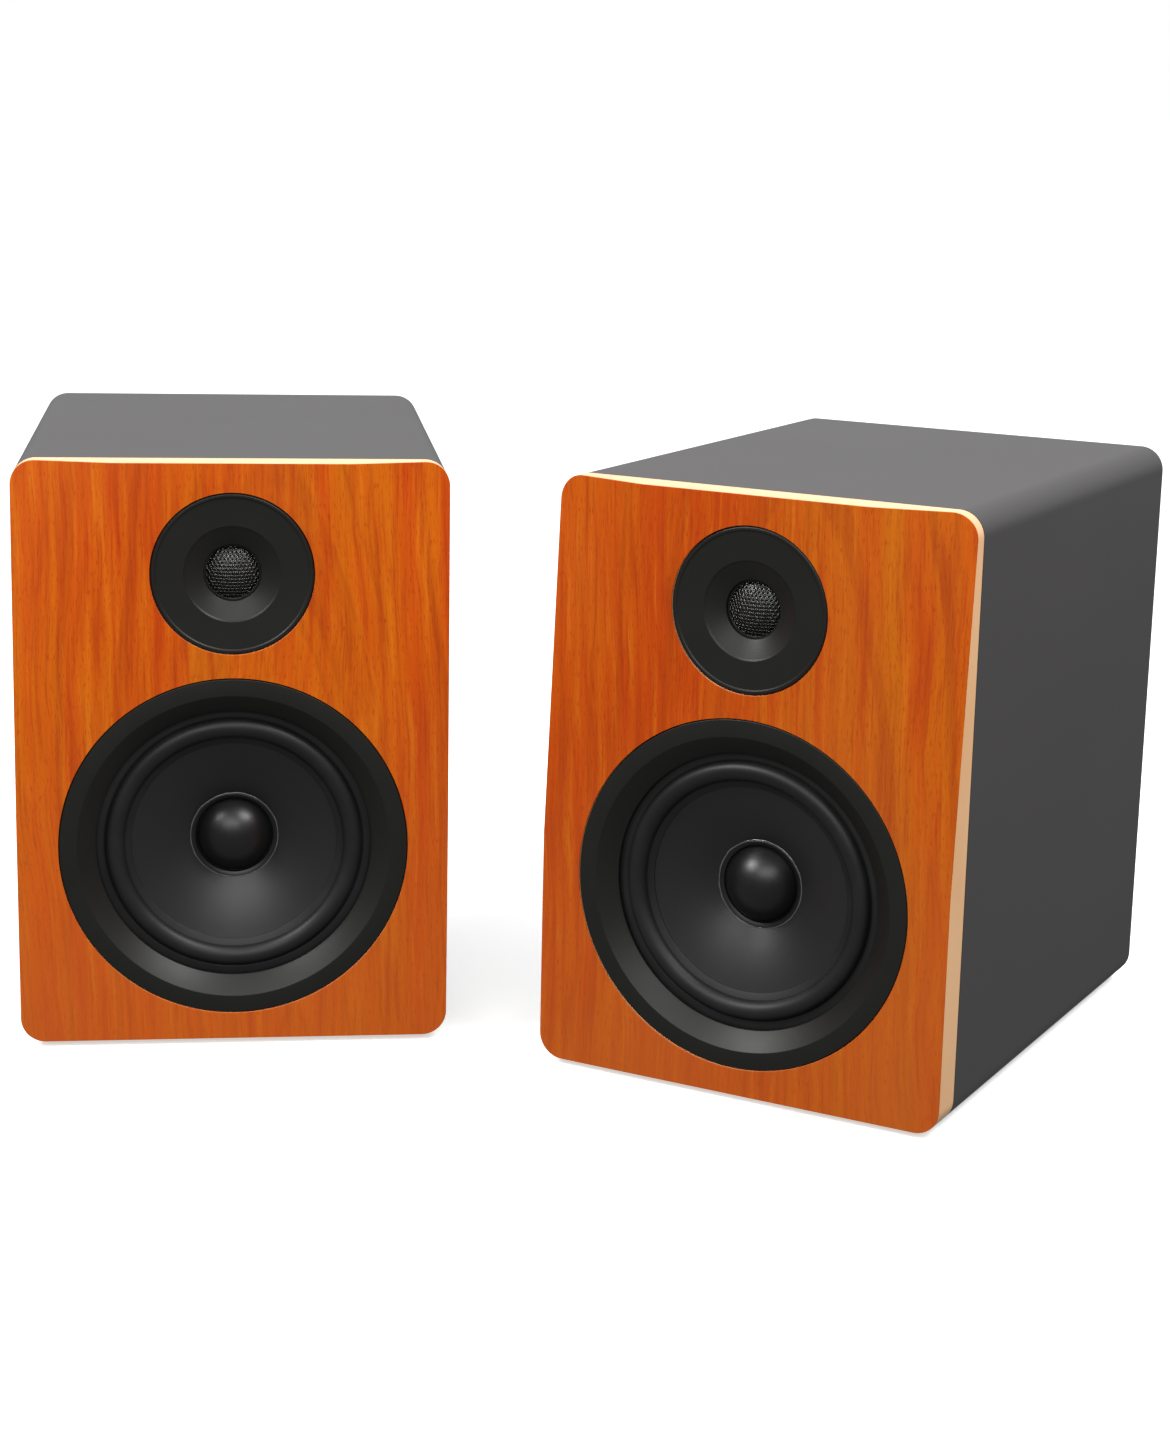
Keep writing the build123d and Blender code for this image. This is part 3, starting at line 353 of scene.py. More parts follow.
@dataclass(frozen=True)
class CherryVeneer:
    """Cherry veneer under thin satin lacquer, its grain running up the front.

    A slow drift of hue, streaks a few millimetres wide, fine lines and short dark pores all follow
    one grain, which slow noise bends, and faint growth rings curve round the board's heart.
    """

    name: str
    origin: Spot
    yaw: float
    shift: float
    heart_x: float
    # brightness of the whole veneer; the right speaker's lower value is painted shade for the lesser light
    # that falls on it
    painted_shade: float = 1.0
    lean: float = 0.03
    red: Colour = paint(202, 74, 0)
    orange: Colour = paint(208, 92, 0)
    amber: Colour = paint(208, 108, 0)
    streak: Colour = paint(166, 48, 0)
    pale: Colour = paint(224, 122, 14)
    # tone of random patches, also laid on towards the bottom as painted light thrown up from the floor
    rose: Colour = paint(202, 98, 40)

    def build(self) -> bpy.types.Material:
        """Make the material."""
        graph = Graph.material(self.name)
        place = graph.local(self.origin, self.yaw)
        x = graph.apart(place, "X")
        z = graph.apart(place, "Z")
        slow = graph.noise(graph.scaled(place, (9, 0, 3.5), (self.shift, 0, 0)), 1.0, 2.0)
        quick = graph.noise(graph.scaled(place, (60, 0, 20), (self.shift, 0, 0)), 1.0, 2.0)
        bent = x + self.lean * z + 0.022 * (slow - 0.5) + 0.0035 * (quick - 0.5)
        grain = graph.joined(bent + self.shift, 0.0, z)
        beside = bent - self.heart_x
        slope = 0.012 + 0.16 * z
        reach = (beside * beside + slope * slope) ** 0.5
        rings = graph.noise(graph.joined(reach * 170 + self.shift, 0.0, z * 1.6), 1.0, 3.0, 0.6)
        bands = graph.noise(graph.scaled(grain, (80, 1, 3.0)), 1.0, 2.0, 0.6)
        streaks = graph.noise(graph.scaled(grain, (210, 1, 10)), 1.0, 3.0, 0.6)
        lines = graph.noise(graph.scaled(grain, (620, 1, 22)), 1.0, 3.0, 0.65)
        fibres = graph.noise(graph.scaled(grain, (1500, 1, 90)), 1.0, 3.0, 0.6)
        pores = graph.noise(graph.scaled(grain, (1700, 1, 210)), 1.0, 1.0)
        body = graph.add(
            "ShaderNodeValToRGB",
            {"stops": ((0.40, self.red), (0.5, self.orange), (0.60, self.amber))},
            {0: 0.4 * bands + 0.4 * slow + 0.2 * rings},
        )
        lined = graph.mixed(rings.stepped(0.50, 0.66) * 0.36, body, self.streak)
        banded = graph.mixed(streaks.stepped(0.48, 0.70) * 0.55, lined, self.streak)
        lit = graph.mixed((1.0 - streaks.stepped(0.30, 0.48)) * 0.55, banded, self.pale)
        fine = graph.mixed(lines.stepped(0.50, 0.70) * 0.52, lit, self.streak)
        pored = graph.mixed(pores.stepped(0.58, 0.70) * 0.55, fine, self.streak)
        # towards the bottom the rose tone is painted light thrown up from the floor; the patches below are
        # random tone
        low = 1.0 - z.stepped(0.02, 0.22)
        patches = graph.noise(graph.scaled(place, (9, 0, 5), (0, 0, self.shift)), 1.0, 1.0)
        rose_patches_and_painted_bounce = patches.stepped(0.42, 0.72) * 0.2 + 0.4 * low
        tinted = graph.mixed(rose_patches_and_painted_bounce, pored, self.rose)
        # the fibres vary the tone as real grain; the painted shade factor darkens the whole veneer
        bright = self.painted_shade * (0.90 + 0.20 * fibres)
        level = graph.joined(bright, bright, bright)
        wood = graph.add("ShaderNodeVectorMath", {"operation": "MULTIPLY"}, {0: tinted, 1: level})
        return graph.finish(
            {
                "Base Color": wood,
                "Roughness": 0.42 + 0.12 * lines,
                "Specular IOR Level": 0.18,
                "Coat Weight": 0.03,
                "Coat Roughness": 0.35,
                "Normal": graph.bumped(fibres * 0.5 + pores * 0.5, 0.00004),
            }
        )


@dataclass(frozen=True)
class LacqueredEdge:
    """Cream lacquer on the edges of the front board, with a trace of the board's layers."""

    name: str = "cream_edge"
    colour: Colour = paint(234, 186, 138)
    warm: Colour = paint(224, 166, 112)

    def build(self) -> bpy.types.Material:
        """Make the material."""
        graph = Graph.material(self.name)
        place = graph.local()
        cloud = graph.noise(place, 14.0, 3.0)
        fibre = graph.noise(graph.scaled(place, (1, 1, 0.08)), 900.0, 2.0)
        return graph.finish(
            {
                "Base Color": graph.mixed(cloud.stepped(0.3, 0.8) * 0.5, self.colour, self.warm),
                "Roughness": 0.3 + 0.1 * fibre,
                "Normal": graph.bumped(fibre, 0.00003),
            }
        )


@dataclass(frozen=True)
class VinylWrap:
    """Matte charcoal vinyl round the cabinet, with a very fine leather-like emboss."""

    name: str = "charcoal_wrap"
    colour: Colour = paint(56, 54, 54)
    light: Colour = paint(62, 60, 60)
    rough: float = 0.52
    depth: float = 0.00005
    shine: float = 0.4

    def build(self) -> bpy.types.Material:
        """Make the material."""
        graph = Graph.material(self.name)
        place = graph.local()
        emboss = {"Vector": place, "Scale": 1500.0}
        cells = graph.add("ShaderNodeTexVoronoi", {"feature": "SMOOTH_F1"}, emboss)
        cloud = graph.noise(place, 8.0, 3.0)
        fine = graph.noise(place, 2600.0, 2.0)
        return graph.finish(
            {
                "Base Color": graph.mixed(cloud, self.colour, self.light),
                "Roughness": self.rough + 0.08 * (cloud - 0.5) + 0.06 * fine,
                "Specular IOR Level": self.shine,
                "Normal": graph.bumped(cells * 0.6 + fine * 0.4, self.depth),
            }
        )


@dataclass(frozen=True)
class Lamp:
    """Status lamp: frosted lens that glows faintly."""

    name: str = "lamp_lens"
    glow: Colour = paint(60, 220, 90)

    def build(self) -> bpy.types.Material:
        """Make the material."""
        graph = Graph.material(self.name)
        haze = graph.noise(graph.local(), 800.0, 2.0)
        return graph.finish(
            {
                "Base Color": graph.mixed(haze * 0.4, self.glow, paint(200, 255, 210)),
                "Roughness": 0.25 + 0.1 * haze,
                "Emission Color": self.glow,
                "Emission Strength": 0.6,
            }
        )


# ---- shaping -------------------------------------------------------------------------------
def rounded(corners: Sequence[Sequence[float]], closed: bool = True, steps: int = 4) -> list[Point]:
    """Outline with its corners rounded.

    Args:
        corners: (radius, depth) or (radius, depth, rounding) of each corner.
        closed: whether the last corner joins the first.
        steps: points along each rounding.

    Returns:
        The outline's points.
    """
    points: list[Point] = []
    count = len(corners)
    for index, corner in enumerate(corners):
        here = Vector(corner[:2])
        fillet = corner[2] if len(corner) > 2 else 0.0
        if fillet == 0.0 or (not closed and index in (0, count - 1)):
            points.append(tuple(here))
            continue
        back = (Vector(corners[index - 1][:2]) - here).normalized()
        on = (Vector(corners[(index + 1) % count][:2]) - here).normalized()
        half = back.angle(on) / 2
        centre = here + (back + on).normalized() * (fillet / math.sin(half))
        start = (here + back * (fillet / math.tan(half)) - centre).normalized()
        end = (here + on * (fillet / math.tan(half)) - centre).normalized()
        points += [tuple(centre + fillet * start.slerp(end, step / steps)) for step in range(steps + 1)]
    return points


def dome_line(radius: float, height: float, back: float, steps: int = 24) -> list[Point]:
    """Half outline of a dome from its rim at depth back to its crown on the axis."""
    ball = (radius ** 2 + height ** 2) / (2 * height)
    widest = math.asin(radius / ball)
    angles = [widest * (1 - step / steps) for step in range(steps + 1)]
    return [(ball * math.sin(a), back - height + ball * (1 - math.cos(a))) for a in angles]


def roll_line(outer: Point, inner: Point, rise: float, steps: int = 14) -> list[Point]:
    """Half roll between two edges, bulging forwards by rise."""
    points = []
    for step in range(steps + 1):
        turn = math.pi * step / steps
        share = (1 - math.cos(turn)) / 2
        radius = outer[0] + (inner[0] - outer[0]) * share
        depth = outer[1] + (inner[1] - outer[1]) * share - rise * math.sin(turn)
        points.append((radius, depth))
    return points


def turned(outline: Sequence[Point], closed: bool = True, steps: int = 128) -> bmesh.types.BMesh:
    """Spin an outline of (radius, depth) about the depth axis.

    Args:
        outline: its points in order.
        closed: whether the outline is a ring; an open one starts and ends on the axis.
        steps: how many steps make the full turn.

    Returns:
        The closed turned solid.
    """
    bm = bmesh.new()
    verts = [bm.verts.new((radius, depth, 0)) for radius, depth in outline]
    pairs = list(zip(verts, verts[1:] + verts[:1])) if closed else list(zip(verts, verts[1:]))
    edges = [bm.edges.new(pair) for pair in pairs]
    bmesh.ops.spin(
        bm, geom=verts + edges, cent=(0, 0, 0), axis=(0, 1, 0), dvec=(0, 0, 0),
        angle=2 * math.pi, steps=steps, use_merge=True, use_duplicate=False,
    )
    bmesh.ops.remove_doubles(bm, verts=bm.verts[:], dist=0.0005)
    bmesh.ops.recalc_face_normals(bm, faces=bm.faces[:])
    return bm


def moved(bm: bmesh.types.BMesh, x: float = 0.0, y: float = 0.0, z: float = 0.0) -> bmesh.types.BMesh:
    """Move a shape and return it."""
    bmesh.ops.translate(bm, verts=bm.verts[:], vec=(x, y, z))
    return bm


def tipped(bm: bmesh.types.BMesh, angle: float, axis: str) -> bmesh.types.BMesh:
    """Turn a shape about one axis through the origin and return it."""
    bmesh.ops.rotate(bm, verts=bm.verts[:], cent=(0, 0, 0), matrix=Matrix.Rotation(angle, 3, axis))
    return bm


def softened(
    bm: bmesh.types.BMesh,
    edges: Sequence[bmesh.types.BMEdge],
    rounding: float,
    segments: int,
    clamp: bool = False,
) -> bmesh.types.BMesh:
    """Round some of a shape's edges and return it.

    Args:
        bm: the shape.
        edges: the edges to round.
        rounding: radius of the rounding.
        segments: faces across it.
        clamp: whether it stops where two roundings would meet.

    Returns:
        The same shape.
    """
    bmesh.ops.bevel(
        bm, geom=edges, offset=rounding, segments=segments, profile=0.5, material=-1, affect="EDGES",
        clamp_overlap=clamp,
    )
    return bm


def slab(width: float, depth: float, height: float, rounding: float = 0.0) -> bmesh.types.BMesh:
    """Block centred on its origin, with all its edges rounded."""
    bm = bmesh.new()
    bmesh.ops.create_cube(bm, size=1.0)
    bmesh.ops.scale(bm, vec=(width, depth, height), verts=bm.verts[:])
    return softened(bm, bm.edges[:], rounding, 3) if rounding else bm


def rounded_board(
    width: float, height: float, corner: float, front: float, back: float
) -> bmesh.types.BMesh:
    """Upright board between two depths whose four long edges are rounded."""
    bm = moved(slab(width, back - front, height), y=(front + back) / 2)
    long_edges = [e for e in bm.edges if abs((e.verts[0].co - e.verts[1].co).y) > 0.5 * (back - front)]
    return softened(bm, long_edges, corner, 12)


def merged(shapes: Iterable[bmesh.types.BMesh]) -> bmesh.types.BMesh:
    """Put several shapes into one and free them."""
    whole = bmesh.new()
    for shape in shapes:
        mesh = bpy.data.meshes.new("part")
        shape.to_mesh(mesh)
        whole.from_mesh(mesh)
        bpy.data.meshes.remove(mesh)
        shape.free()
    return whole


def cut(bm: bmesh.types.BMesh, tools: Sequence[bmesh.types.BMesh]) -> bmesh.types.BMesh:
    """Take tool shapes out of a shape.

    Args:
        bm: the shape.
        tools: closed shapes to take away.

    Returns:
        The cut shape.
    """
    holders = []
    for shape in (bm, merged(tools)):
        mesh = bpy.data.meshes.new("cut")
        shape.to_mesh(mesh)
        shape.free()
        holder = bpy.data.objects.new("cut", mesh)
        bpy.context.scene.collection.objects.link(holder)
        holders.append(holder)
    body, tool = holders
    step = body.modifiers.new("cut", "BOOLEAN")
    step.operation = "DIFFERENCE"
    step.solver = "EXACT"
    step.use_self = True
    step.object = tool
    graph = bpy.context.evaluated_depsgraph_get()
    result = bpy.data.meshes.new_from_object(body.evaluated_get(graph))
    out = bmesh.new()
    out.from_mesh(result)
    bpy.data.meshes.remove(result)
    for holder in holders:
        mesh = holder.data
        bpy.data.objects.remove(holder)
        bpy.data.meshes.remove(mesh)
    bmesh.ops.remove_doubles(out, verts=out.verts[:], dist=0.001)
    return out


def bar(radius: float, length: float, steps: int = 32) -> bmesh.types.BMesh:
    """Round bar along the depth, centred on its origin."""
    bm = bmesh.new()
    bmesh.ops.create_cone(bm, cap_ends=True, segments=steps, radius1=radius, radius2=radius, depth=length)
    return tipped(bm, math.pi / 2, "X")


# ---- where each speaker stands -------------------------------------------------------------
class Side(Enum):
    """The two speakers of the pair, as their nodes' names begin."""

    LEFT = "left"
    RIGHT = "right"


@dataclass
class Stand:
    """Place of one speaker in the shared frame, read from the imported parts."""

    side: Side
    ring_middle: float = 4.3   # depth of the trim ring's middle behind the front plane
    yaw: float = field(init=False)
    origin: Vector = field(init=False)
    woofer_z: float = field(init=False)
    tweeter_z: float = field(init=False)

    def __post_init__(self) -> None:
        """Work the place out from the woofer's stroke and the trim ring's box."""
        stroke = next(j for j in frame["joints"] if j["name"] == self.named("woofer_stroke"))
        front = Vector(stroke["axis"])
        self.yaw = math.atan2(front.x, -front.y)
        centre = self.middle("woofer_trim_ring") + front * self.ring_middle * MM
        self.origin = Vector((centre.x, centre.y, 0))
        self.woofer_z = self.middle("woofer_trim_ring").z / MM
        self.tweeter_z = self.middle("tweeter_faceplate").z / MM

    def middle(self, node: str) -> Vector:
        """Middle of a node's box, in metres."""
        low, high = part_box(self.named(node))
        return (low + high) / 2

    def named(self, part: str) -> str:
        """Name of this speaker's node, body or joint."""
        return f"{self.side.value}_{part}"

    def extent(self, node: str) -> tuple[Vector, Vector]:
        """Lowest and highest corners of a node in the speaker's own axes, in millimetres."""
        inverse = self.matrix.inverted()
        spots = [inverse @ vert.co for vert in frame["nodes"][self.named(node)].data.vertices]
        low = Vector([min(spot[axis] for spot in spots) for axis in range(3)])
        high = Vector([max(spot[axis] for spot in spots) for axis in range(3)])
        return low, high

    def centre(self, node: str) -> Vector:
        """Middle of a node's extent in the speaker's own axes, in millimetres."""
        low, high = self.extent(node)
        return (low + high) / 2

    @property
    def matrix(self) -> Matrix:
        """From the speaker's own millimetres to the frame."""
        return Matrix.Translation(self.origin) @ Matrix.Rotation(self.yaw, 4, "Z") @ Matrix.Scale(MM, 4)

    @property
    def body(self) -> str:
        """Name of the cabinet's body."""
        return self.named("speaker")


# ---- finishes shared by the pair -----------------------------------------------------------
Finish = Union[MouldedPlastic, Rubber, ConeFinish, SatinFinish, LacqueredEdge, VinylWrap, Lamp]


def made(finish: Finish) -> Any:
    """Field whose default is a finish's material, made with the palette."""
    return field(default_factory=finish.build)


@dataclass
class Palette:
    """Every finish that both speakers share, made once."""

    black: bpy.types.Material = made(MouldedPlastic("black_moulding", paint(25, 25, 23)))
    edge: bpy.types.Material = made(LacqueredEdge())
    wrap: bpy.types.Material = made(VinylWrap())
    board: bpy.types.Material = made(VinylWrap("black_board", paint(30, 30, 30), paint(38, 38, 38), 0.55))
    rubber: bpy.types.Material = made(Rubber())
    cone: bpy.types.Material = made(ConeFinish())
    cap: bpy.types.Material = made(SatinFinish("cap_satin", paint(16, 16, 16), 0.36))
    # the glue is glossy black; this lighter grey is painted glints on the bead
    glue: bpy.types.Material = made(SatinFinish("glue_gloss_painted_glint", paint(84, 84, 82), 0.18, coat=1.0))
    mesh: bpy.types.Material = made(SatinFinish("mesh_metal", paint(98, 98, 96), 0.2, metallic=1.0))
    silk: bpy.types.Material = made(SatinFinish("silk_dome", paint(8, 8, 9), 0.7))
    steel: bpy.types.Material = made(SatinFinish("zinc_steel", paint(178, 178, 172), 0.34, metallic=1.0))
    coat: bpy.types.Material = made(MouldedPlastic("powder_coat", paint(36, 36, 36), 0.5, 1400.0, 0.00006))
    screw: bpy.types.Material = made(SatinFinish("black_zinc", paint(46, 46, 48), 0.3, metallic=0.8))
    ferrite: bpy.types.Material = made(MouldedPlastic("ferrite", paint(60, 60, 62), 0.6, 500.0, 0.0001))
    copper: bpy.types.Material = made(SatinFinish("copper_wire", paint(186, 104, 60), 0.3, metallic=0.9))
    cloth: bpy.types.Material = made(SatinFinish("spider_cloth", paint(196, 166, 104), 0.8))
    circuit: bpy.types.Material = made(SatinFinish("circuit_board", paint(22, 84, 44), 0.4))
    red: bpy.types.Material = made(SatinFinish("red_plastic", paint(176, 24, 20), 0.32))
    gloss: bpy.types.Material = made(SatinFinish("black_satin", paint(22, 22, 22), 0.28))
    nickel: bpy.types.Material = made(SatinFinish("nickel", paint(200, 196, 186), 0.2, metallic=1.0))
    lamp: bpy.types.Material = made(Lamp())


@dataclass
class Assembly:
    """A sub-assembly of one speaker, and the finishes it is made in."""

    stand: Stand
    palette: Palette

    def put(
        self,
        name: str,
        shape: bmesh.types.BMesh,
        finish: bpy.types.Material,
        slot: str,
        replaces: Sequence[str] = (),
        body: Optional[str] = None,
        crease: float = 32.0,
        edge: float = 0.0,
        blended: bool = False,
    ) -> bpy.types.Object:
        """Make one finished piece at its speaker's stand.

        Args:
            name: what the piece is called.
            shape: its mesh, in the speaker's own millimetres, which is freed.
            finish: its material.
            slot: the record's material slot; not used.
            replaces: the nodes that it stands for.
            body: the body that it rides on, the cabinet's if none is given.
            crease: angle in degrees past which an edge stays sharp.
            edge: width in millimetres of the live bevel on sharp edges.
            blended: whether the piece is left riding on no body.

        Returns:
            The object.
        """
        name = self.stand.named(name)
        shape.transform(self.stand.matrix)
        mesh = bpy.data.meshes.new(name)
        shape.to_mesh(mesh)
        shape.free()
        mesh.materials.append(finish)
        mesh.shade_smooth()
        mesh.set_sharp_from_angle(angle=math.radians(crease))
        obj = bpy.data.objects.new(name, mesh)
        bpy.context.scene.collection.objects.link(obj)
        if edge:
            bevel = obj.modifiers.new("edge", "BEVEL")
            bevel.width = edge * MM
            bevel.segments = 2
            bevel.limit_method = "ANGLE"
            bevel.angle_limit = math.radians(40)
            bevel.harden_normals = True
        if not blended:
            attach(obj, body or self.stand.body)
        if replaces:
            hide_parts(*(self.stand.named(node) for node in replaces))
        LOG.info("%s: %d faces", name, len(mesh.polygons))
        return obj


# ---- cabinet -------------------------------------------------------------------------------
@dataclass
class Cabinet(Assembly):
    """Front board with its veneer, the wrapped sleeve and the feet."""

    veneer_shift: float
    heart_x: float
    # veneer brightness, lower on the right speaker as painted shade
    veneer_painted_shade: float
    width: float = 216.0
    height: float = 296.4
    depth: float = 289.0
    front_t: float = 19.5
    veneer_t: float = 0.8
    corner: float = 12.5
    board_t: float = 15.0
    foot_h: float = 3.0
    foot_r: float = 9.0
    foot_inset: float = 30.0
    dish_r: float = 5.0        # hollow in each foot's underside
    dish: float = 0.4
    facet_top_x: float = 58.4
    facet_side_z: float = 117.0
    facet_depth: float = 11.7
    ring_hole: float = 87.6
    plate_hole: float = 40.65
    seam: float = 0.3          # half the shadow gap between the front board and the sleeve
    seam_depth: float = 1.2

    @property
    def middle_z(self) -> float:
        """Height of the cabinet's middle."""
        return self.foot_h + self.height / 2

    def _facet(self, side: int, front: float) -> tuple[Vector, Vector]:
        """Point on one bevel's plane and the plane's outward normal."""
        top = self.foot_h + self.height
        edge = side * self.width / 2
        on_top = Vector((side * self.facet_top_x, front, top))
        on_side = Vector((edge, front, self.foot_h + self.facet_side_z))
        corner = Vector((edge, front + self.facet_depth, top))
        normal = (on_side - on_top).cross(corner - on_top).normalized()
        return on_top, normal if normal.y < 0 else -normal

    def _front_blank(self, front: float, back: float) -> bmesh.types.BMesh:
        """Front board between two depths, with its two long bevels."""
        bm = moved(rounded_board(self.width, self.height, self.corner, front, back), z=self.middle_z)
        for side in (-1, 1):
            point, normal = self._facet(side, front)
            result = bmesh.ops.bisect_plane(
                bm, geom=bm.verts[:] + bm.edges[:] + bm.faces[:], dist=0.001,
                plane_co=point, plane_no=normal, clear_outer=True,
            )
            rim = [e for e in result["geom_cut"] if isinstance(e, bmesh.types.BMEdge)]
            bmesh.ops.edgenet_fill(bm, edges=rim)
        bmesh.ops.recalc_face_normals(bm, faces=bm.faces[:])
        return bm

    def _holes(self) -> list[bmesh.types.BMesh]:
        """Cutters for the two drivers."""
        return [
            moved(bar(self.ring_hole, 80.0, 160), z=self.stand.woofer_z),
            moved(bar(self.plate_hole, 80.0, 128), z=self.stand.tweeter_z),
        ]

    def front_board(self) -> bpy.types.Object:
        """Cream-edged board behind the veneer."""
        core = cut(self._front_blank(self.veneer_t, self.front_t - self.seam), self._holes())
        return self.put("front_board", core, self.palette.edge, "cream_edge", ["baffle"], edge=0.35)

    def tongue(self) -> bpy.types.Object:
        """Black tongue that closes the shadow gap between the front board and the sleeve."""
        inset = 2 * self.seam_depth
        outer = rounded_board(
            self.width - inset, self.height - inset, self.corner - self.seam_depth,
            self.front_t - self.seam - 0.5, self.front_t + self.seam + 0.5,
        )
        wall = 2 * self.board_t
        inner = slab(self.width - wall, 2 * self.depth, self.height - wall)
        shape = moved(cut(outer, [inner]), z=self.middle_z)
        return self.put("front_tongue", shape, self.palette.board, "black_board")

    def veneer(self) -> bpy.types.Object:
        """Thin veneer over the front and its two bevels."""
        bm = self._front_blank(0.0, self.front_t)
        back = [f for f in bm.faces if f.normal.y > -0.5]
        bmesh.ops.delete(bm, geom=back, context="FACES")
        sheet = bmesh.ops.extrude_face_region(bm, geom=bm.faces[:])
        skin = [v for v in sheet["geom"] if isinstance(v, bmesh.types.BMVert)]
        bmesh.ops.translate(bm, verts=skin, vec=(0, self.veneer_t, 0))
        bmesh.ops.recalc_face_normals(bm, faces=bm.faces[:])
        wood = CherryVeneer(
            self.stand.named("cherry_veneer"), tuple(self.stand.origin), self.stand.yaw,
            self.veneer_shift, self.heart_x, self.veneer_painted_shade,
        ).build()
        skin = cut(bm, self._holes())
        return self.put("cherry_face", skin, wood, "cherry_veneer", ["front_veneer"], edge=0.22)

    def sleeve(self) -> bpy.types.Object:
        """Wrapped sleeve, open at both ends."""
        front = self.front_t + self.seam
        outer = rounded_board(self.width, self.height, self.corner, front, self.depth)
        inner = slab(self.width - 2 * self.board_t, 2 * self.depth, self.height - 2 * self.board_t)
        shape = moved(cut(outer, [moved(inner, y=self.depth / 2)]), z=self.middle_z)
        return self.put("wrapped_sleeve", shape, self.palette.wrap, "charcoal_wrap", ["sleeve"], edge=0.4)

    def feet(self) -> bpy.types.Object:
        """Four rubber discs with a dished underside."""
        outline = rounded(
            [
                (0, self.dish),
                (self.dish_r, self.dish),
                (self.dish_r + 1.0, 0, 0.3),
                (self.foot_r, 0, 0.8),
                (self.foot_r, self.foot_h),
                (0, self.foot_h),
            ],
            closed=False,
        )
        shapes = []
        reach = self.width / 2 - self.foot_inset
        for x in (-reach, reach):
            for y in (self.foot_inset, self.depth - self.foot_inset):
                foot = tipped(turned(outline, closed=False, steps=40), math.pi / 2, "X")
                shapes.append(moved(foot, x, y))
        return self.put("rubber_feet", merged(shapes), self.palette.rubber, "rubber", ["feet"])

    def build(self) -> None:
        """Make every piece."""
        self.front_board()
        self.tongue()
        self.veneer()
        self.sleeve()
        self.feet()


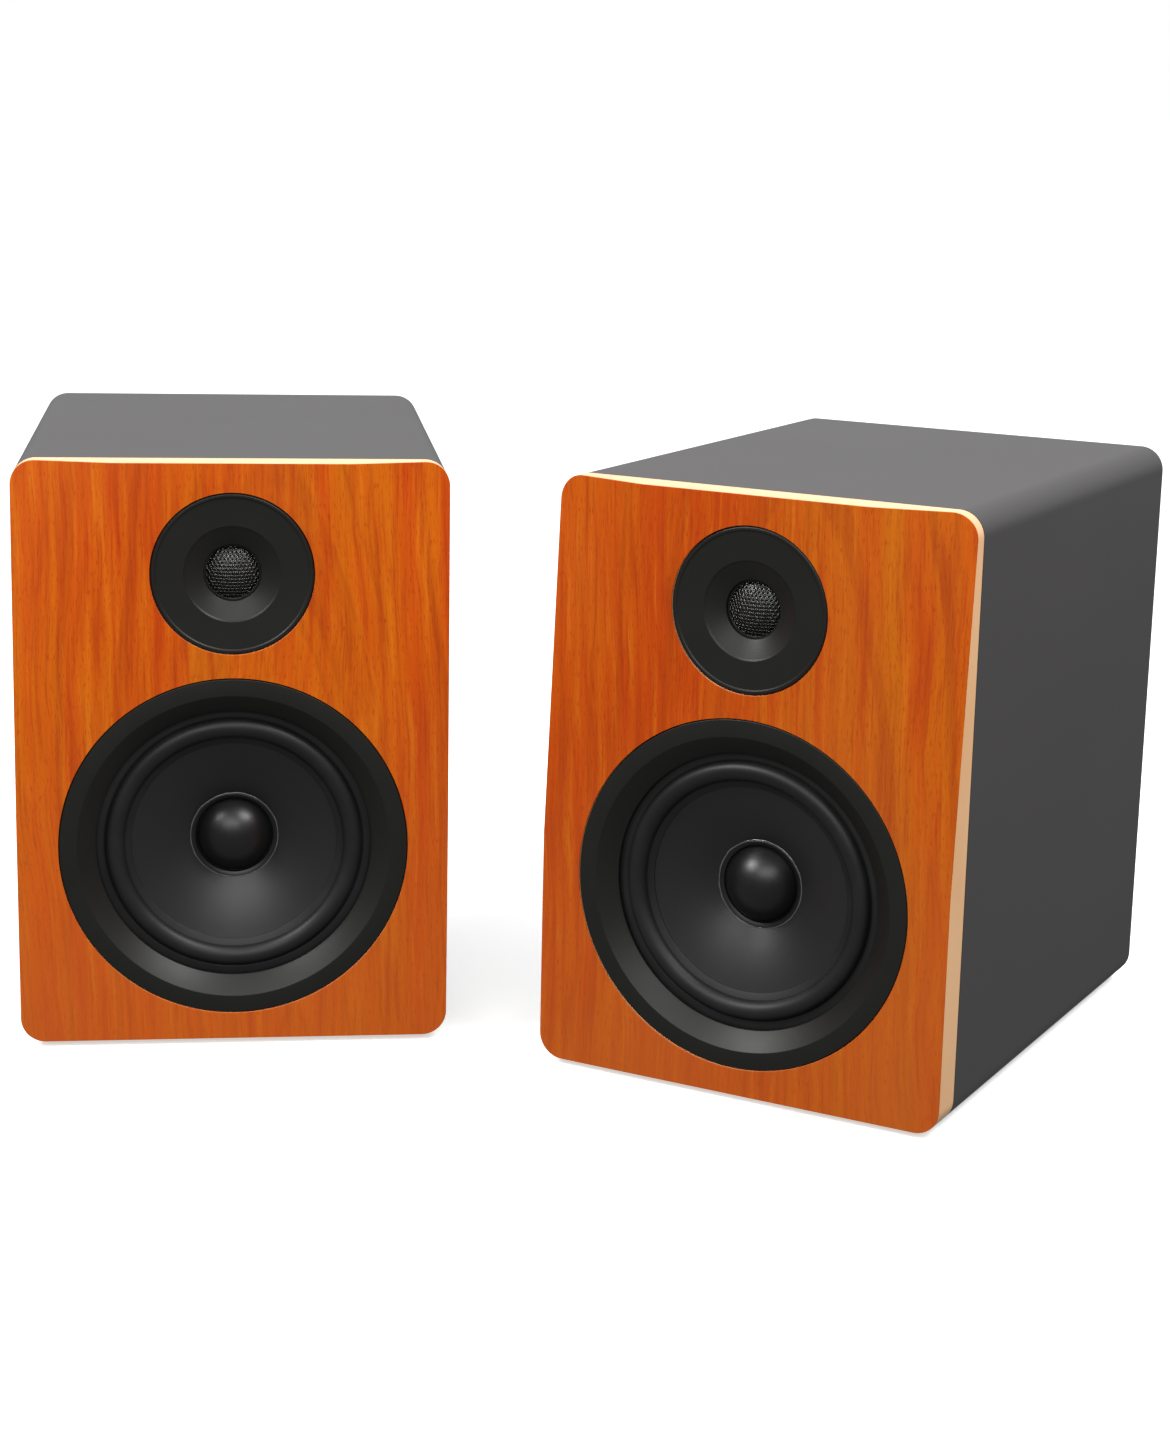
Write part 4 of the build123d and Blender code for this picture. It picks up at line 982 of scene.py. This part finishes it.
# ---- woofer --------------------------------------------------------------------------------
@dataclass
class Woofer(Assembly):
    """Trim ring, roll surround, cone, glue ring and dust cap."""

    ring_r: float = 87.2
    ring_flat: float = 8.7
    ring_inner: float = 69.3
    ring_front: float = 0.3
    ring_back: float = 8.3
    lip_r: float = 69.9
    lip_front: float = 9.6
    land_r: float = 66.4       # inside of the lip's flat
    ledge: float = 10.8
    roll_r: float = 64.8
    roll_w: float = 9.95
    roll_rise: float = 4.6
    skin: float = 0.8
    lap: float = 3.2
    cone_edge: float = 11.6
    collar_r: float = 22.0
    collar_depth: float = 25.0
    flare: float = 1.4         # how far the cone's waist bulges forward
    flare_r: float = 150.0
    former_r: float = 13.5
    cap_r: float = 19.0
    cap_h: float = 12.6
    glue_seed: float = 3.7

    @property
    def motion(self) -> str:
        """Name of the moving body."""
        return self.stand.named("woofer_motion")

    def cone_face(self, radius: float) -> float:
        """Depth of the cone's front at a radius."""
        outer = self.roll_r - self.roll_w
        rise = self.collar_depth - self.cone_edge
        return self.cone_edge + (outer - radius) * rise / (outer - self.collar_r)

    def trim_ring(self) -> bpy.types.Object:
        """Flat band and bevel that frame the cone."""
        outline = rounded(
            [
                (self.ring_r, self.ring_front, 0.6),
                (self.ring_r - self.ring_flat, self.ring_front, 0.5),
                (self.ring_inner, self.ring_back - 0.8, 0.35),
                (self.ring_inner, self.ring_back),
                (self.ring_r, self.ring_back),
            ]
        )
        shape = moved(turned(outline, steps=160), z=self.stand.woofer_z)
        return self.put(
            "bevelled_ring", shape, self.palette.black, "black_plastic", ["woofer_trim_ring"], crease=40
        )

    def surround(self) -> bpy.types.Object:
        """Rubber roll edge from the basket's lip to the cone's rim, left riding on no body."""
        inner = self.roll_r - self.roll_w
        lap_r = inner - self.lap
        start = (self.roll_r, self.lip_front + 0.5)
        end = (inner, self.cone_face(inner) - self.skin)
        under = (self.roll_r - self.skin, self.ledge)
        under_end = (inner + self.skin, self.cone_face(inner))
        lap = self.cone_face(lap_r)
        face = self.lip_front
        lip = [(self.lip_r, self.ledge), (self.lip_r, face, 0.3), (self.land_r, face, 0.3)]
        outline = rounded(lip, closed=False)
        outline += [(self.land_r - 1.0, face + 0.1)]
        outline += roll_line(start, end, self.roll_rise)
        outline += rounded([end, (lap_r, lap - self.skin, 0.3), (lap_r, lap)], closed=False)[1:]
        outline += roll_line(under, under_end, self.roll_rise)[::-1]
        shape = moved(turned(outline, steps=160), z=self.stand.woofer_z)
        piece = self.put(
            "roll_surround", shape, self.palette.rubber, "rubber", ["woofer_surround"],
            crease=50, blended=True,
        )
        self._blend_by_radius(piece, self.roll_r, inner)
        return piece

    def _blend_by_radius(self, piece: bpy.types.Object, outer: float, inner: float) -> None:
        """Lay a ring's points out by radius, bake its transform, then put the points back.

        Args:
            piece: the ring.
            outer: not used.
            inner: not used.
        """
        verts = piece.data.vertices
        rest = [v.co.copy() for v in verts]
        own = self.stand.matrix.inverted()
        for vert, place in zip(verts, rest):
            here = own @ place
            vert.co = (math.hypot(here.x, here.z - self.stand.woofer_z) * MM, 0, 0)
        self.stand.body
        self.motion
        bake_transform(piece)
        for vert, place in zip(verts, rest):
            vert.co = place

    def cone(self) -> bpy.types.Object:
        """Moulded cone with a rounded neck under the dust cap."""
        outer = self.roll_r - self.roll_w
        waist = (outer + self.collar_r) / 2
        outline = rounded(
            [
                (outer, self.cone_edge, 0.0),
                (waist, self.cone_face(waist) - self.flare, self.flare_r),
                (self.collar_r, self.collar_depth, 6.0),
                (self.former_r, self.cone_face(self.former_r) + 0.4),
                (self.former_r, self.cone_face(self.former_r) + 1.2),
                (outer, self.cone_edge + 0.8),
            ],
            steps=8,
        )
        shape = moved(turned(outline, steps=160), z=self.stand.woofer_z)
        return self.put(
            "moulded_cone", shape, self.palette.cone, "cone_pp", ["woofer_cone"], self.motion, crease=50
        )

    def collar(self) -> bpy.types.Object:
        """Narrow shoulder between the cone and the dust cap."""
        face = self.cone_face(self.collar_r) - 0.7
        outline = rounded(
            [
                (self.collar_r + 0.1, self.cone_face(self.collar_r) + 0.4),
                (self.collar_r - 0.1, face, 0.35),
                (self.cap_r + 0.7, face + 0.9, 0.35),
                (self.cap_r + 0.1, self.cone_face(self.cap_r) + 0.3),
            ]
        )
        shape = moved(turned(outline, steps=128), z=self.stand.woofer_z)
        return self.put("cone_collar", shape, self.palette.cap, "cap_satin", (), self.motion, crease=50)

    def glue_bead(self) -> bpy.types.Object:
        """Uneven thread of glue round the collar's foot, its grey lightened to paint glints."""
        middle = self.collar_r + 0.25
        foot = self.cone_face(middle)
        ring = [2 * math.pi * step / 8 for step in range(8)]
        bm = turned([(middle + 0.42 * math.cos(a), foot + 0.35 * math.sin(a)) for a in ring], steps=160)
        for vert in bm.verts:
            spot = Vector((vert.co.x, self.glue_seed, vert.co.z))
            swell = noise.noise(spot * 0.18) + 0.6 * noise.noise(spot * 0.55)
            out = Vector((vert.co.x, 0, vert.co.z)).normalized()
            vert.co += 0.25 * swell * out + Vector((0, -0.22 * swell, 0))
        shape = moved(bm, z=self.stand.woofer_z)
        return self.put("glue_bead", shape, self.palette.glue, "cap_satin", (), self.motion, crease=80)

    def dust_cap(self) -> bpy.types.Object:
        """Domed cap over the coil."""
        foot = self.cone_face(self.cap_r)
        outline = dome_line(self.cap_r, self.cap_h, foot, 28)
        outline = outline[::-1] + dome_line(self.cap_r - 0.6, self.cap_h - 0.6, foot, 20)
        shape = moved(turned(outline, closed=False, steps=96), z=self.stand.woofer_z)
        return self.put(
            "domed_cap", shape, self.palette.cap, "cap_satin", ["woofer_dust_cap"], self.motion, crease=60
        )

    def build(self) -> None:
        """Make every piece."""
        self.trim_ring()
        self.surround()
        self.cone()
        self.collar()
        self.glue_bead()
        self.dust_cap()


# ---- tweeter -------------------------------------------------------------------------------
@dataclass
class Tweeter(Assembly):
    """Plate with its waveguide, perforated guard and soft dome."""

    plate_r: float = 40.25
    front: float = 0.3
    bead_w: float = 2.2
    bead_h: float = 0.5
    guide_r: float = 23.6
    throat_r: float = 14.2
    throat: float = 5.2
    boss_r: float = 33.5
    seat: float = 8.0
    plate_back: float = 5.5
    guard_r: float = 13.7
    guard_h: float = 5.4
    guard_t: float = 0.4
    pitch: float = 2.0
    web: float = 0.27          # share of each cell that stays metal, measured in from its edge
    dome_r: float = 12.5
    dome_h: float = 4.5
    dome_back: float = 8.9
    silk_t: float = 0.4
    edge_r: float = 14.9       # outside of the dome's rolled edge
    edge_h: float = 0.35       # low enough to clear the guard at the end of the stroke
    coil_l: float = 5.0

    def faceplate(self) -> bpy.types.Object:
        """Round plate with a rim bead, a flat flange and a conical guide."""
        face = self.front + self.bead_h
        outline = rounded(
            [
                (self.plate_r, self.front + 0.5, 0.35),
                (self.plate_r - 0.7, self.front, 0.35),
                (self.plate_r - self.bead_w + 0.4, self.front, 0.35),
                (self.plate_r - self.bead_w - 0.1, face, 0.3),
                (self.guide_r + 0.5, face, 0.4),
                (self.guide_r - 0.3, face + 0.6, 0.5),
                (self.throat_r, self.throat, 0.5),
                (self.throat_r, self.seat),
                (self.boss_r, self.seat),
                (self.boss_r, self.plate_back),
                (self.plate_r, self.plate_back),
            ]
        )
        shape = moved(turned(outline, steps=144), z=self.stand.tweeter_z)
        return self.put(
            "guide_plate", shape, self.palette.black, "black_plastic", ["tweeter_faceplate"], crease=50
        )

    def guard(self) -> bpy.types.Object:
        """Domed guard: hexagon cells with their middles open, rounded by subdivision."""
        bm = bmesh.new()
        cell = self.pitch / math.sqrt(3)
        row = self.pitch * math.sqrt(3) / 2
        rows = int(self.guard_r / row) + 1
        for j in range(-rows, rows + 1):
            for i in range(-rows - 1, rows + 2):
                x = (i + 0.5 * (j % 2)) * self.pitch
                z = j * row
                if math.hypot(x, z) < self.guard_r - 0.25 * self.pitch:
                    place = Matrix.Translation((x, z, 0)) @ Matrix.Rotation(math.pi / 6, 4, "Z")
                    bmesh.ops.create_circle(bm, cap_ends=True, segments=6, radius=cell, matrix=place)
        bmesh.ops.remove_doubles(bm, verts=bm.verts[:], dist=0.02)
        cells = bm.faces[:]
        bmesh.ops.inset_individual(bm, faces=cells, thickness=cell * self.web, depth=0.0)
        bmesh.ops.delete(bm, geom=cells, context="FACES_ONLY")
        tipped(bm, math.pi / 2, "X")
        ball = (self.guard_r ** 2 + self.guard_h ** 2) / (2 * self.guard_h)
        crown = self.seat - self.guard_t - self.guard_h
        for vert in bm.verts:
            radius = min(math.hypot(vert.co.x, vert.co.z), self.guard_r)
            vert.co.y = crown + ball - math.sqrt(ball ** 2 - radius ** 2)
        bmesh.ops.recalc_face_normals(bm, faces=bm.faces[:])
        if sum(f.normal.y for f in bm.faces) > 0:
            bmesh.ops.reverse_faces(bm, faces=bm.faces[:])
        shape = moved(bm, z=self.stand.tweeter_z)
        piece = self.put(
            "perforated_guard", shape, self.palette.mesh, "mesh_metal", ["tweeter_grille"], crease=80
        )
        smooth = piece.modifiers.new("smooth", "SUBSURF")
        smooth.levels = 1
        smooth.render_levels = 1
        wall = piece.modifiers.new("wall", "SOLIDIFY")
        wall.thickness = self.guard_t * MM
        wall.offset = -1.0
        return piece

    def guard_rim(self) -> bpy.types.Object:
        """Rolled rim that holds the guard in the throat."""
        outline = rounded(
            [
                (self.throat_r, self.seat),
                (self.throat_r, self.seat - 1.3, 0.3),
                (self.guard_r - 0.7, self.seat - 1.0, 0.3),
                (self.guard_r - 0.7, self.seat),
            ]
        )
        shape = moved(turned(outline, steps=96), z=self.stand.tweeter_z)
        return self.put("guard_rim", shape, self.palette.black, "black_plastic")

    def dome(self) -> bpy.types.Object:
        """Soft dome with a rolled edge, seen through the guard."""
        rim, back = self.dome_r, self.dome_back
        under, inner = back + self.silk_t, rim - self.silk_t
        outline = dome_line(rim, self.dome_h, back, 20)[::-1]
        outline += roll_line((rim, back), (self.edge_r, back), self.edge_h, 6)[1:]
        foot = back + self.coil_l
        outline += [(self.edge_r, under), (rim, under), (rim, foot), (inner, foot)]
        outline += dome_line(inner, self.dome_h, under, 16)
        shape = moved(turned(outline, closed=False, steps=72), z=self.stand.tweeter_z)
        return self.put(
            "silk_dome", shape, self.palette.silk, "silk_dome", ["tweeter_dome"],
            self.stand.named("tweeter_motion"), crease=50,
        )

    def build(self) -> None:
        """Make every piece."""
        self.faceplate()
        self.guard()
        self.guard_rim()
        self.dome()


# ---- backs ---------------------------------------------------------------------------------
@dataclass
class Back(Assembly):
    """What both backs have: reflex port, screws, and the terminals with their sprung levers."""

    plate: str                 # node of the plate that the screws hold
    plate_y: float = 288.5
    port_r: float = 22.0
    port_wall: float = 2.0
    port_l: float = 95.0
    mouth_r: float = 31.0
    boss_r: float = 33.0
    flange_r: float = 37.0
    flange_t: float = 2.5
    flare_l: float = 13.0
    head_r: float = 3.5
    head_t: float = 2.2
    shank_r: float = 1.8
    shank_l: float = 9.2
    recess_l: float = 3.9
    recess_w: float = 0.8
    recess_d: float = 1.2
    edge: float = 4.5          # screw centre from the plate's edge
    tall: float = 144.0        # a plate taller than this has screws half way up too
    ring_back: float = 8.3
    circle_r: float = 79.0     # woofer screws
    lever_w: float = 12.0
    lever_t: float = 3.0
    grip: float = 3.0
    pivot_r: float = 1.2
    ribs: int = 3
    rib_pitch: float = 2.0
    rib_start: float = 5.5     # from the lever's foot
    mark_l: float = 3.2
    mark_w: float = 0.7
    mark_t: float = 0.3

    def port(self) -> bpy.types.Object:
        """Reflex tube with a trumpet mouth and a flange."""
        centre = self.stand.centre("port_tube")
        end = self.plate_y
        flare = end - self.flare_l
        reach = self.mouth_r - self.port_r
        bell = []
        for step in range(11):
            turn = math.pi / 2 * step / 10
            bell.append((self.port_r + reach * (1 - math.cos(turn)), flare + self.flare_l * math.sin(turn)))
        outer_r = self.port_r + self.port_wall
        shoulder = end - self.flange_t
        rest = rounded(
            [
                (self.mouth_r, end),
                (self.flange_r, end, 0.9),
                (self.flange_r, shoulder),
                (self.boss_r, shoulder),
                (self.boss_r, shoulder - self.port_wall),
                (outer_r, flare - self.port_wall),
                (outer_r, end - self.port_l),
                (self.port_r, end - self.port_l),
            ],
            closed=False,
        )
        shape = moved(turned(bell + rest[1:], steps=96), z=centre.z)
        return self.put("flared_port", shape, self.palette.black, "black_plastic", ["port_tube"], crease=40)

    def _screw(self) -> bmesh.types.BMesh:
        """One pan-head screw with a cross recess, its head's seat at the origin."""
        outline = rounded(
            [
                (0, self.head_t),
                (0.6 * self.head_r, self.head_t, 0.8),
                (self.head_r, 0.45 * self.head_t, 0.5),
                (self.head_r, 0),
                (self.shank_r, 0),
                (self.shank_r, -0.85 * self.shank_l),
                (0, -self.shank_l),
            ],
            closed=False,
        )
        arms = [
            moved(slab(self.recess_l, 2 * self.recess_d, self.recess_w), y=self.head_t),
            moved(slab(self.recess_w, 2 * self.recess_d, self.recess_l), y=self.head_t),
        ]
        return cut(turned(outline, closed=False, steps=32), arms)

    def screws(self) -> bpy.types.Object:
        """Screws round the rear plate and, behind the trim ring, round the woofer."""
        low, high = self.stand.extent(self.plate)
        rows = [low.z + self.edge, high.z - self.edge]
        if high.z - low.z > self.tall:
            rows.append((low.z + high.z) / 2)
        model = self._screw()
        columns = (low.x + self.edge, high.x - self.edge)
        shapes = [moved(model.copy(), x, self.plate_y, z) for x in columns for z in rows]
        tipped(model, math.pi, "Z")
        for quarter in range(4):
            angle = math.radians(45 + 90 * quarter)
            x = self.circle_r * math.cos(angle)
            z = self.stand.woofer_z + self.circle_r * math.sin(angle)
            shapes.append(moved(model.copy(), x, self.ring_back, z))
        model.free()
        return self.put("cross_screws", merged(shapes), self.palette.screw, "black_screw", ["screws"])

    def lever(self, colour: str, finish: bpy.types.Material, slot: str) -> bpy.types.Object:
        """Sprung lever: rounded arm on two trunnions, with a grip ridge and three ribs."""
        node = f"{colour}_lever"
        low, high = self.stand.extent(node)
        centre = (low + high) / 2
        back = high.y - self.grip
        middle_y = back - self.lever_t / 2
        pin = tipped(bar(self.pivot_r, high.x - low.x, 20), math.pi / 2, "Z")
        ridge = slab(self.lever_w, 1.6 * self.grip, self.lever_t, 0.7)
        shapes = [
            moved(slab(self.lever_w, self.lever_t, high.z - low.z, 0.6), centre.x, middle_y, centre.z),
            moved(ridge, centre.x, high.y - 0.8 * self.grip, low.z + self.lever_t / 2),
            moved(pin, centre.x, middle_y, high.z - self.lever_t / 2),
        ]
        for step in range(self.ribs):
            rib = slab(0.7 * self.lever_w, 0.9, 0.8, 0.25)
            shapes.append(moved(rib, centre.x, back, low.z + self.rib_start + self.rib_pitch * step))
        body = self.stand.named(node)
        return self.put(f"ribbed_{node}", merged(shapes), finish, slot, [node], body)

    def terminal_marks(self) -> bpy.types.Object:
        """Raised plus over the red lever and minus over the black one."""
        block = self.stand.extent("terminal_block")[1]
        across = slab(self.mark_l, 2 * self.mark_t, self.mark_w, 0.1)
        upright = slab(self.mark_w, 2 * self.mark_t, self.mark_l, 0.1)
        shapes = []
        for colour, strokes in (("red", (across, upright)), ("black", (across,))):
            x = self.stand.centre(f"{colour}_lever").x
            top = self.stand.extent(f"{colour}_lever")[1].z
            shapes += [moved(stroke.copy(), x, block.y, (top + block.z) / 2) for stroke in strokes]
        across.free()
        upright.free()
        return self.put("terminal_marks", merged(shapes), self.palette.steel, "zinc_steel")

    def build(self) -> None:
        """Make every piece."""
        self.port()
        self.screws()
        self.lever("red", self.palette.red, "red_plastic")
        self.lever("black", self.palette.gloss, "black_gloss")
        self.terminal_marks()


@dataclass
class AmplifierPanel(Assembly):
    """Knobs with their scales, and the bright parts of the sockets, on the powered speaker."""

    face_y: float = 288.5
    knob_l: float = 14.0
    shaft_r: float = 3.0
    flutes: int = 18
    flute_d: float = 0.45
    skirt: float = 3.0
    rim_w: float = 2.2         # raised rim round a knob's face
    dish: float = 0.3
    pointer_w: float = 1.2
    tick_w: float = 0.6
    tick_l: float = 2.0
    long_tick_l: float = 3.0
    tick_gap: float = 1.6
    collar_r: float = 6.5
    jack_pitch: float = 20.0
    jack_r: float = 4.15
    bore_r: float = 1.9
    socket_x: float = -13.0    # from the middle of the inlet module
    socket_d: float = 13.0
    pin_r: float = 1.25
    pin_pitch: float = 8.6
    pin_l: float = 9.5
    sweep: float = 270.0       # degrees that a knob's scale spans

    def knob(self, name: str) -> None:
        """Fluted knob on its shaft, with a bright pointer let into its face.

        Args:
            name: the knob's node.
        """
        low, high = self.stand.extent(name)
        x, z = (low.x + high.x) / 2, (low.z + high.z) / 2
        radius = (high.x - low.x) / 2
        start = high.y - self.knob_l
        outline = rounded(
            [
                (0, high.y - self.dish),
                (radius - self.rim_w, high.y - self.dish, 0.3),
                (radius - self.rim_w + self.dish, high.y, 0.25),
                (radius - 0.5, high.y, 1.0),
                (radius - 0.2, start + self.skirt, 0.3),
                (radius, start + self.skirt - 0.4, 0.2),
                (radius, start, 0.3),
                (self.shaft_r, start),
                (self.shaft_r, low.y),
                (0, low.y),
            ],
            closed=False,
        )
        body = turned(outline, closed=False, steps=8 * self.flutes)
        for vert in body.verts:
            out = math.hypot(vert.co.x, vert.co.z)
            if out > radius - 1.4 and vert.co.y > start + self.skirt - 0.2:
                wave = 0.5 + 0.5 * math.cos(self.flutes * math.atan2(vert.co.z, vert.co.x))
                vert.co -= Vector((vert.co.x, 0, vert.co.z)).normalized() * self.flute_d * wave
        owner = self.stand.named(name)
        gloss = self.palette.gloss
        self.put(f"fluted_{name}", moved(body, x, 0, z), gloss, "black_gloss", [name], owner, crease=45)
        pointer = moved(slab(self.pointer_w, 0.5, 0.62 * radius, 0.15), x, high.y - 0.2, z + 0.5 * radius)
        self.put(f"{name}_pointer", pointer, self.palette.steel, "zinc_steel", (), owner)

    def scale(self, name: str, ticks: int) -> list[bmesh.types.BMesh]:
        """Raised ticks round a knob, longer at the ends and the middle.

        Args:
            name: the knob's node.
            ticks: how many there are.

        Returns:
            The ticks' shapes.
        """
        low, high = self.stand.extent(name)
        radius = (high.x - low.x) / 2
        shapes = []
        for step in range(ticks):
            length = self.long_tick_l if step in (0, ticks // 2, ticks - 1) else self.tick_l
            tick = moved(slab(self.tick_w, 0.5, length, 0.1), z=radius + self.tick_gap + length / 2)
            tipped(tick, math.radians(self.sweep * (step / (ticks - 1) - 0.5)), "Y")
            shapes.append(moved(tick, (low.x + high.x) / 2, self.face_y, (low.z + high.z) / 2))
        return shapes

    def sockets(self) -> None:
        """Coloured rings on the two phono sockets, and the inlet's two pins."""
        low, high = self.stand.extent("input_jacks")
        z = (low.z + high.z) / 2
        liner_r, washer_r = self.jack_r - 0.6, self.collar_r - 0.4
        face = [(self.bore_r, -0.4), (self.bore_r, 0.3, 0.15), (liner_r, 0.3, 0.15), (liner_r, -0.4)]
        base = [(self.jack_r, 0), (self.jack_r, 2.4, 0.3), (washer_r, 2.0, 0.3), (washer_r, 0)]
        finishes = (("red", self.palette.red, "red_plastic"), ("black", self.palette.gloss, "black_gloss"))
        for step, (colour, finish, slot) in enumerate(finishes):
            x = low.x + self.collar_r + step * self.jack_pitch
            rings = [
                moved(turned(rounded(face), steps=48), x, high.y, z),
                moved(turned(rounded(base), steps=48), x, self.face_y, z),
            ]
            self.put(f"{colour}_jack_rings", merged(rings), finish, slot)
        low, high = self.stand.extent("mains_inlet")
        middle = (low.x + high.x) / 2 + self.socket_x
        pins = []
        for side in (-1, 1):
            pin = bar(self.pin_r, self.pin_l, 24)
            softened(pin, pin.edges[:], 0.3, 2, clamp=True)
            y = high.y - self.socket_d + self.pin_l / 2
            pins.append(moved(pin, middle + side * self.pin_pitch / 2, y, (low.z + high.z) / 2))
        self.put("inlet_pins", merged(pins), self.palette.nickel, "jack_metal")

    def build(self) -> None:
        """Make every piece."""
        scales: list[bmesh.types.BMesh] = []
        for name, ticks in (("volume_knob", 11), ("treble_knob", 7), ("bass_knob", 7)):
            self.knob(name)
            scales += self.scale(name, ticks)
        self.put("knob_scales", merged(scales), self.palette.steel, "zinc_steel")
        self.sockets()


# ---- studio --------------------------------------------------------------------------------
@dataclass
class Camera:
    """The camera: where it stands, how far it looks down and how it is rolled."""

    x: float = 292.9
    y: float = -1436.0
    height: float = 495.1
    turn: float = 10.568       # degrees to the left of straight ahead
    pitch: float = 13.151      # degrees down
    roll: float = 1.295        # degrees
    lens: float = 70.52

    def build(self) -> None:
        """Make the camera and set it as the scene's."""
        data = bpy.data.cameras.new("camera")
        data.lens = self.lens
        data.sensor_width = 36.0
        data.clip_end = 60.0
        obj = bpy.data.objects.new("camera", data)
        bpy.context.scene.collection.objects.link(obj)
        aim = (
            Matrix.Rotation(math.radians(self.turn), 4, "Z")
            @ Matrix.Rotation(math.radians(90 - self.pitch), 4, "X")
            @ Matrix.Rotation(math.radians(self.roll), 4, "Z")
        )
        obj.matrix_world = Matrix.Translation(Vector((self.x, self.y, self.height)) * MM) @ aim
        bpy.context.scene.camera = obj


@dataclass(frozen=True)
class Softbox:
    """One soft light, aimed at a point on the pair."""

    name: str
    place: Spot
    aim: Spot
    width: float
    height: float
    power: float

    def build(self) -> None:
        """Make the light."""
        data = bpy.data.lights.new(self.name, "AREA")
        data.shape = "RECTANGLE"
        data.size = self.width
        data.size_y = self.height
        data.energy = self.power
        obj = bpy.data.objects.new(self.name, data)
        bpy.context.scene.collection.objects.link(obj)
        obj.location = self.place
        obj.rotation_euler = (Vector(self.aim) - Vector(self.place)).to_track_quat("-Z", "Y").to_euler()


@dataclass
class Studio:
    """Pale floor, white backdrop and the soft lights."""

    ground: float = 0.24       # brightness of the room below the horizon, at it and overhead
    horizon: float = 0.18
    ceiling: float = 0.68
    behind: float = 0.8        # of the backdrop low behind the pair
    backdrop: Colour = (1.0, 1.0, 1.0)
    floor_colour: Colour = (0.93, 0.93, 0.93)
    floor_glow: float = 0.5
    floor_reach: float = 30.0
    lights: tuple[Softbox, ...] = (
        Softbox("overhead", (0.2, 0.05, 2.0), (0.0, 0.0, 0.15), 1.6, 1.1, 2.5),
        Softbox("left_key", (-1.4, -0.95, 1.75), (-0.1, 0.0, 0.15), 0.9, 0.7, 36.0),
        Softbox("right_key", (1.2, -0.55, 1.9), (0.1, 0.0, 0.15), 1.0, 0.8, 36.0),
        Softbox("front_fill", (0.15, -2.35, 1.75), (0.0, 0.0, 0.12), 2.2, 1.1, 30.0),
    )

    def floor(self) -> None:
        """Make the level floor, which lies in sight but throws no light back."""
        bm = bmesh.new()
        bmesh.ops.create_grid(bm, x_segments=1, y_segments=1, size=self.floor_reach)
        mesh = bpy.data.meshes.new("studio_floor")
        bm.to_mesh(mesh)
        bm.free()
        graph = Graph.material("studio_floor")
        cloud = graph.noise(graph.local(), 2.0)
        mesh.materials.append(
            graph.finish(
                {
                    "Base Color": graph.mixed(cloud * 0.2, self.floor_colour, self.backdrop),
                    "Roughness": 0.8,
                    "Specular IOR Level": 0.1,
                    "Emission Color": self.backdrop,
                    "Emission Strength": self.floor_glow,
                }
            )
        )
        obj = bpy.data.objects.new("studio_floor", mesh)
        bpy.context.scene.collection.objects.link(obj)
        obj.visible_glossy = False
        obj.visible_diffuse = False

    def surroundings(self) -> None:
        """Make the world: white to the camera, a soft gradient to everything else."""
        world = bpy.data.worlds.new("studio")
        bpy.context.scene.world = world
        graph = Graph(world)
        ray = graph.add("ShaderNodeTexCoord", output="Generated")
        back = graph.apart(ray, "Y")
        up = graph.apart(ray, "Z")
        low = self.ground + (self.horizon - self.ground) * up.stepped(-0.3, 0.1)
        open_sky = low + (self.ceiling - self.horizon) * up.stepped(0.1, 0.8)
        wall = back.stepped(0.1, 0.6) * up.stepped(-0.05, 0.1) * (1.0 - up.stepped(0.5, 0.8))
        ambient = open_sky + self.behind * wall
        seen = graph.add("ShaderNodeLightPath", output="Is Camera Ray")
        strength = graph.add("ShaderNodeMix", {"data_type": "FLOAT"}, {0: seen, 2: ambient, 3: 1.0})
        sky = graph.node("ShaderNodeBackground", {}, {"Color": self.backdrop, "Strength": strength})
        graph.close(sky, "ShaderNodeOutputWorld")

    def build(self) -> None:
        """Make the floor, the surroundings and the lights."""
        self.floor()
        self.surroundings()
        for light in self.lights:
            light.build()
        view = bpy.context.scene.view_settings
        view.view_transform = "Standard"
        view.look = "None"


# ---- carried-over nodes --------------------------------------------------------------------
def dress_node(node: str, material: bpy.types.Material) -> None:
    """Give a CAD node its finish."""
    obj = frame["nodes"][node]
    if not obj.material_slots:
        obj.data.materials.append(material)
    for slot in obj.material_slots:
        slot.material = material


def dress_hidden(palette: Palette) -> None:
    """Give every node that no new piece replaces its finish."""
    finishes = {
        "rear_panel": palette.board,
        "woofer_basket": palette.coat,
        "woofer_voice_coil": palette.copper,
        "woofer_spider": palette.cloth,
        "woofer_magnet": palette.ferrite,
        "woofer_pole_pieces": palette.steel,
        "tweeter_magnet": palette.ferrite,
        "tweeter_pole_pieces": palette.steel,
        "terminal_plate": palette.black,
        "terminal_block": palette.black,
        "crossover_board": palette.circuit,
        "amp_plate": palette.coat,
        "amp_board": palette.circuit,
        "transformer": palette.steel,
        "mains_inlet": palette.black,
        "power_rocker": palette.gloss,
        "input_jacks": palette.nickel,
        "status_lamp": palette.lamp,
    }
    for node in frame["nodes"]:
        part = node.split("_", 1)[1]
        if part in finishes:
            dress_node(node, finishes[part])


def main() -> None:
    """Build the pair and its studio."""
    logging.basicConfig(level=logging.INFO, format="%(name)s: %(message)s")
    Camera().build()
    Studio().build()
    palette = Palette()
    dress_hidden(palette)
    # grain shift, heart offset and the veneer's painted shade, for each speaker
    faces = {Side.LEFT: (3.1, 0.03, 0.95), Side.RIGHT: (7.9, 0.035, 0.86)}
    for side, (shift, heart, painted_shade) in faces.items():
        stand = Stand(side)
        Cabinet(stand, palette, shift, heart, painted_shade).build()
        Woofer(stand, palette).build()
        Tweeter(stand, palette).build()
        Back(stand, palette, "terminal_plate" if side is Side.LEFT else "amp_plate").build()
        if side is Side.RIGHT:
            AmplifierPanel(stand, palette).build()


if __name__ == "__main__":
    main()
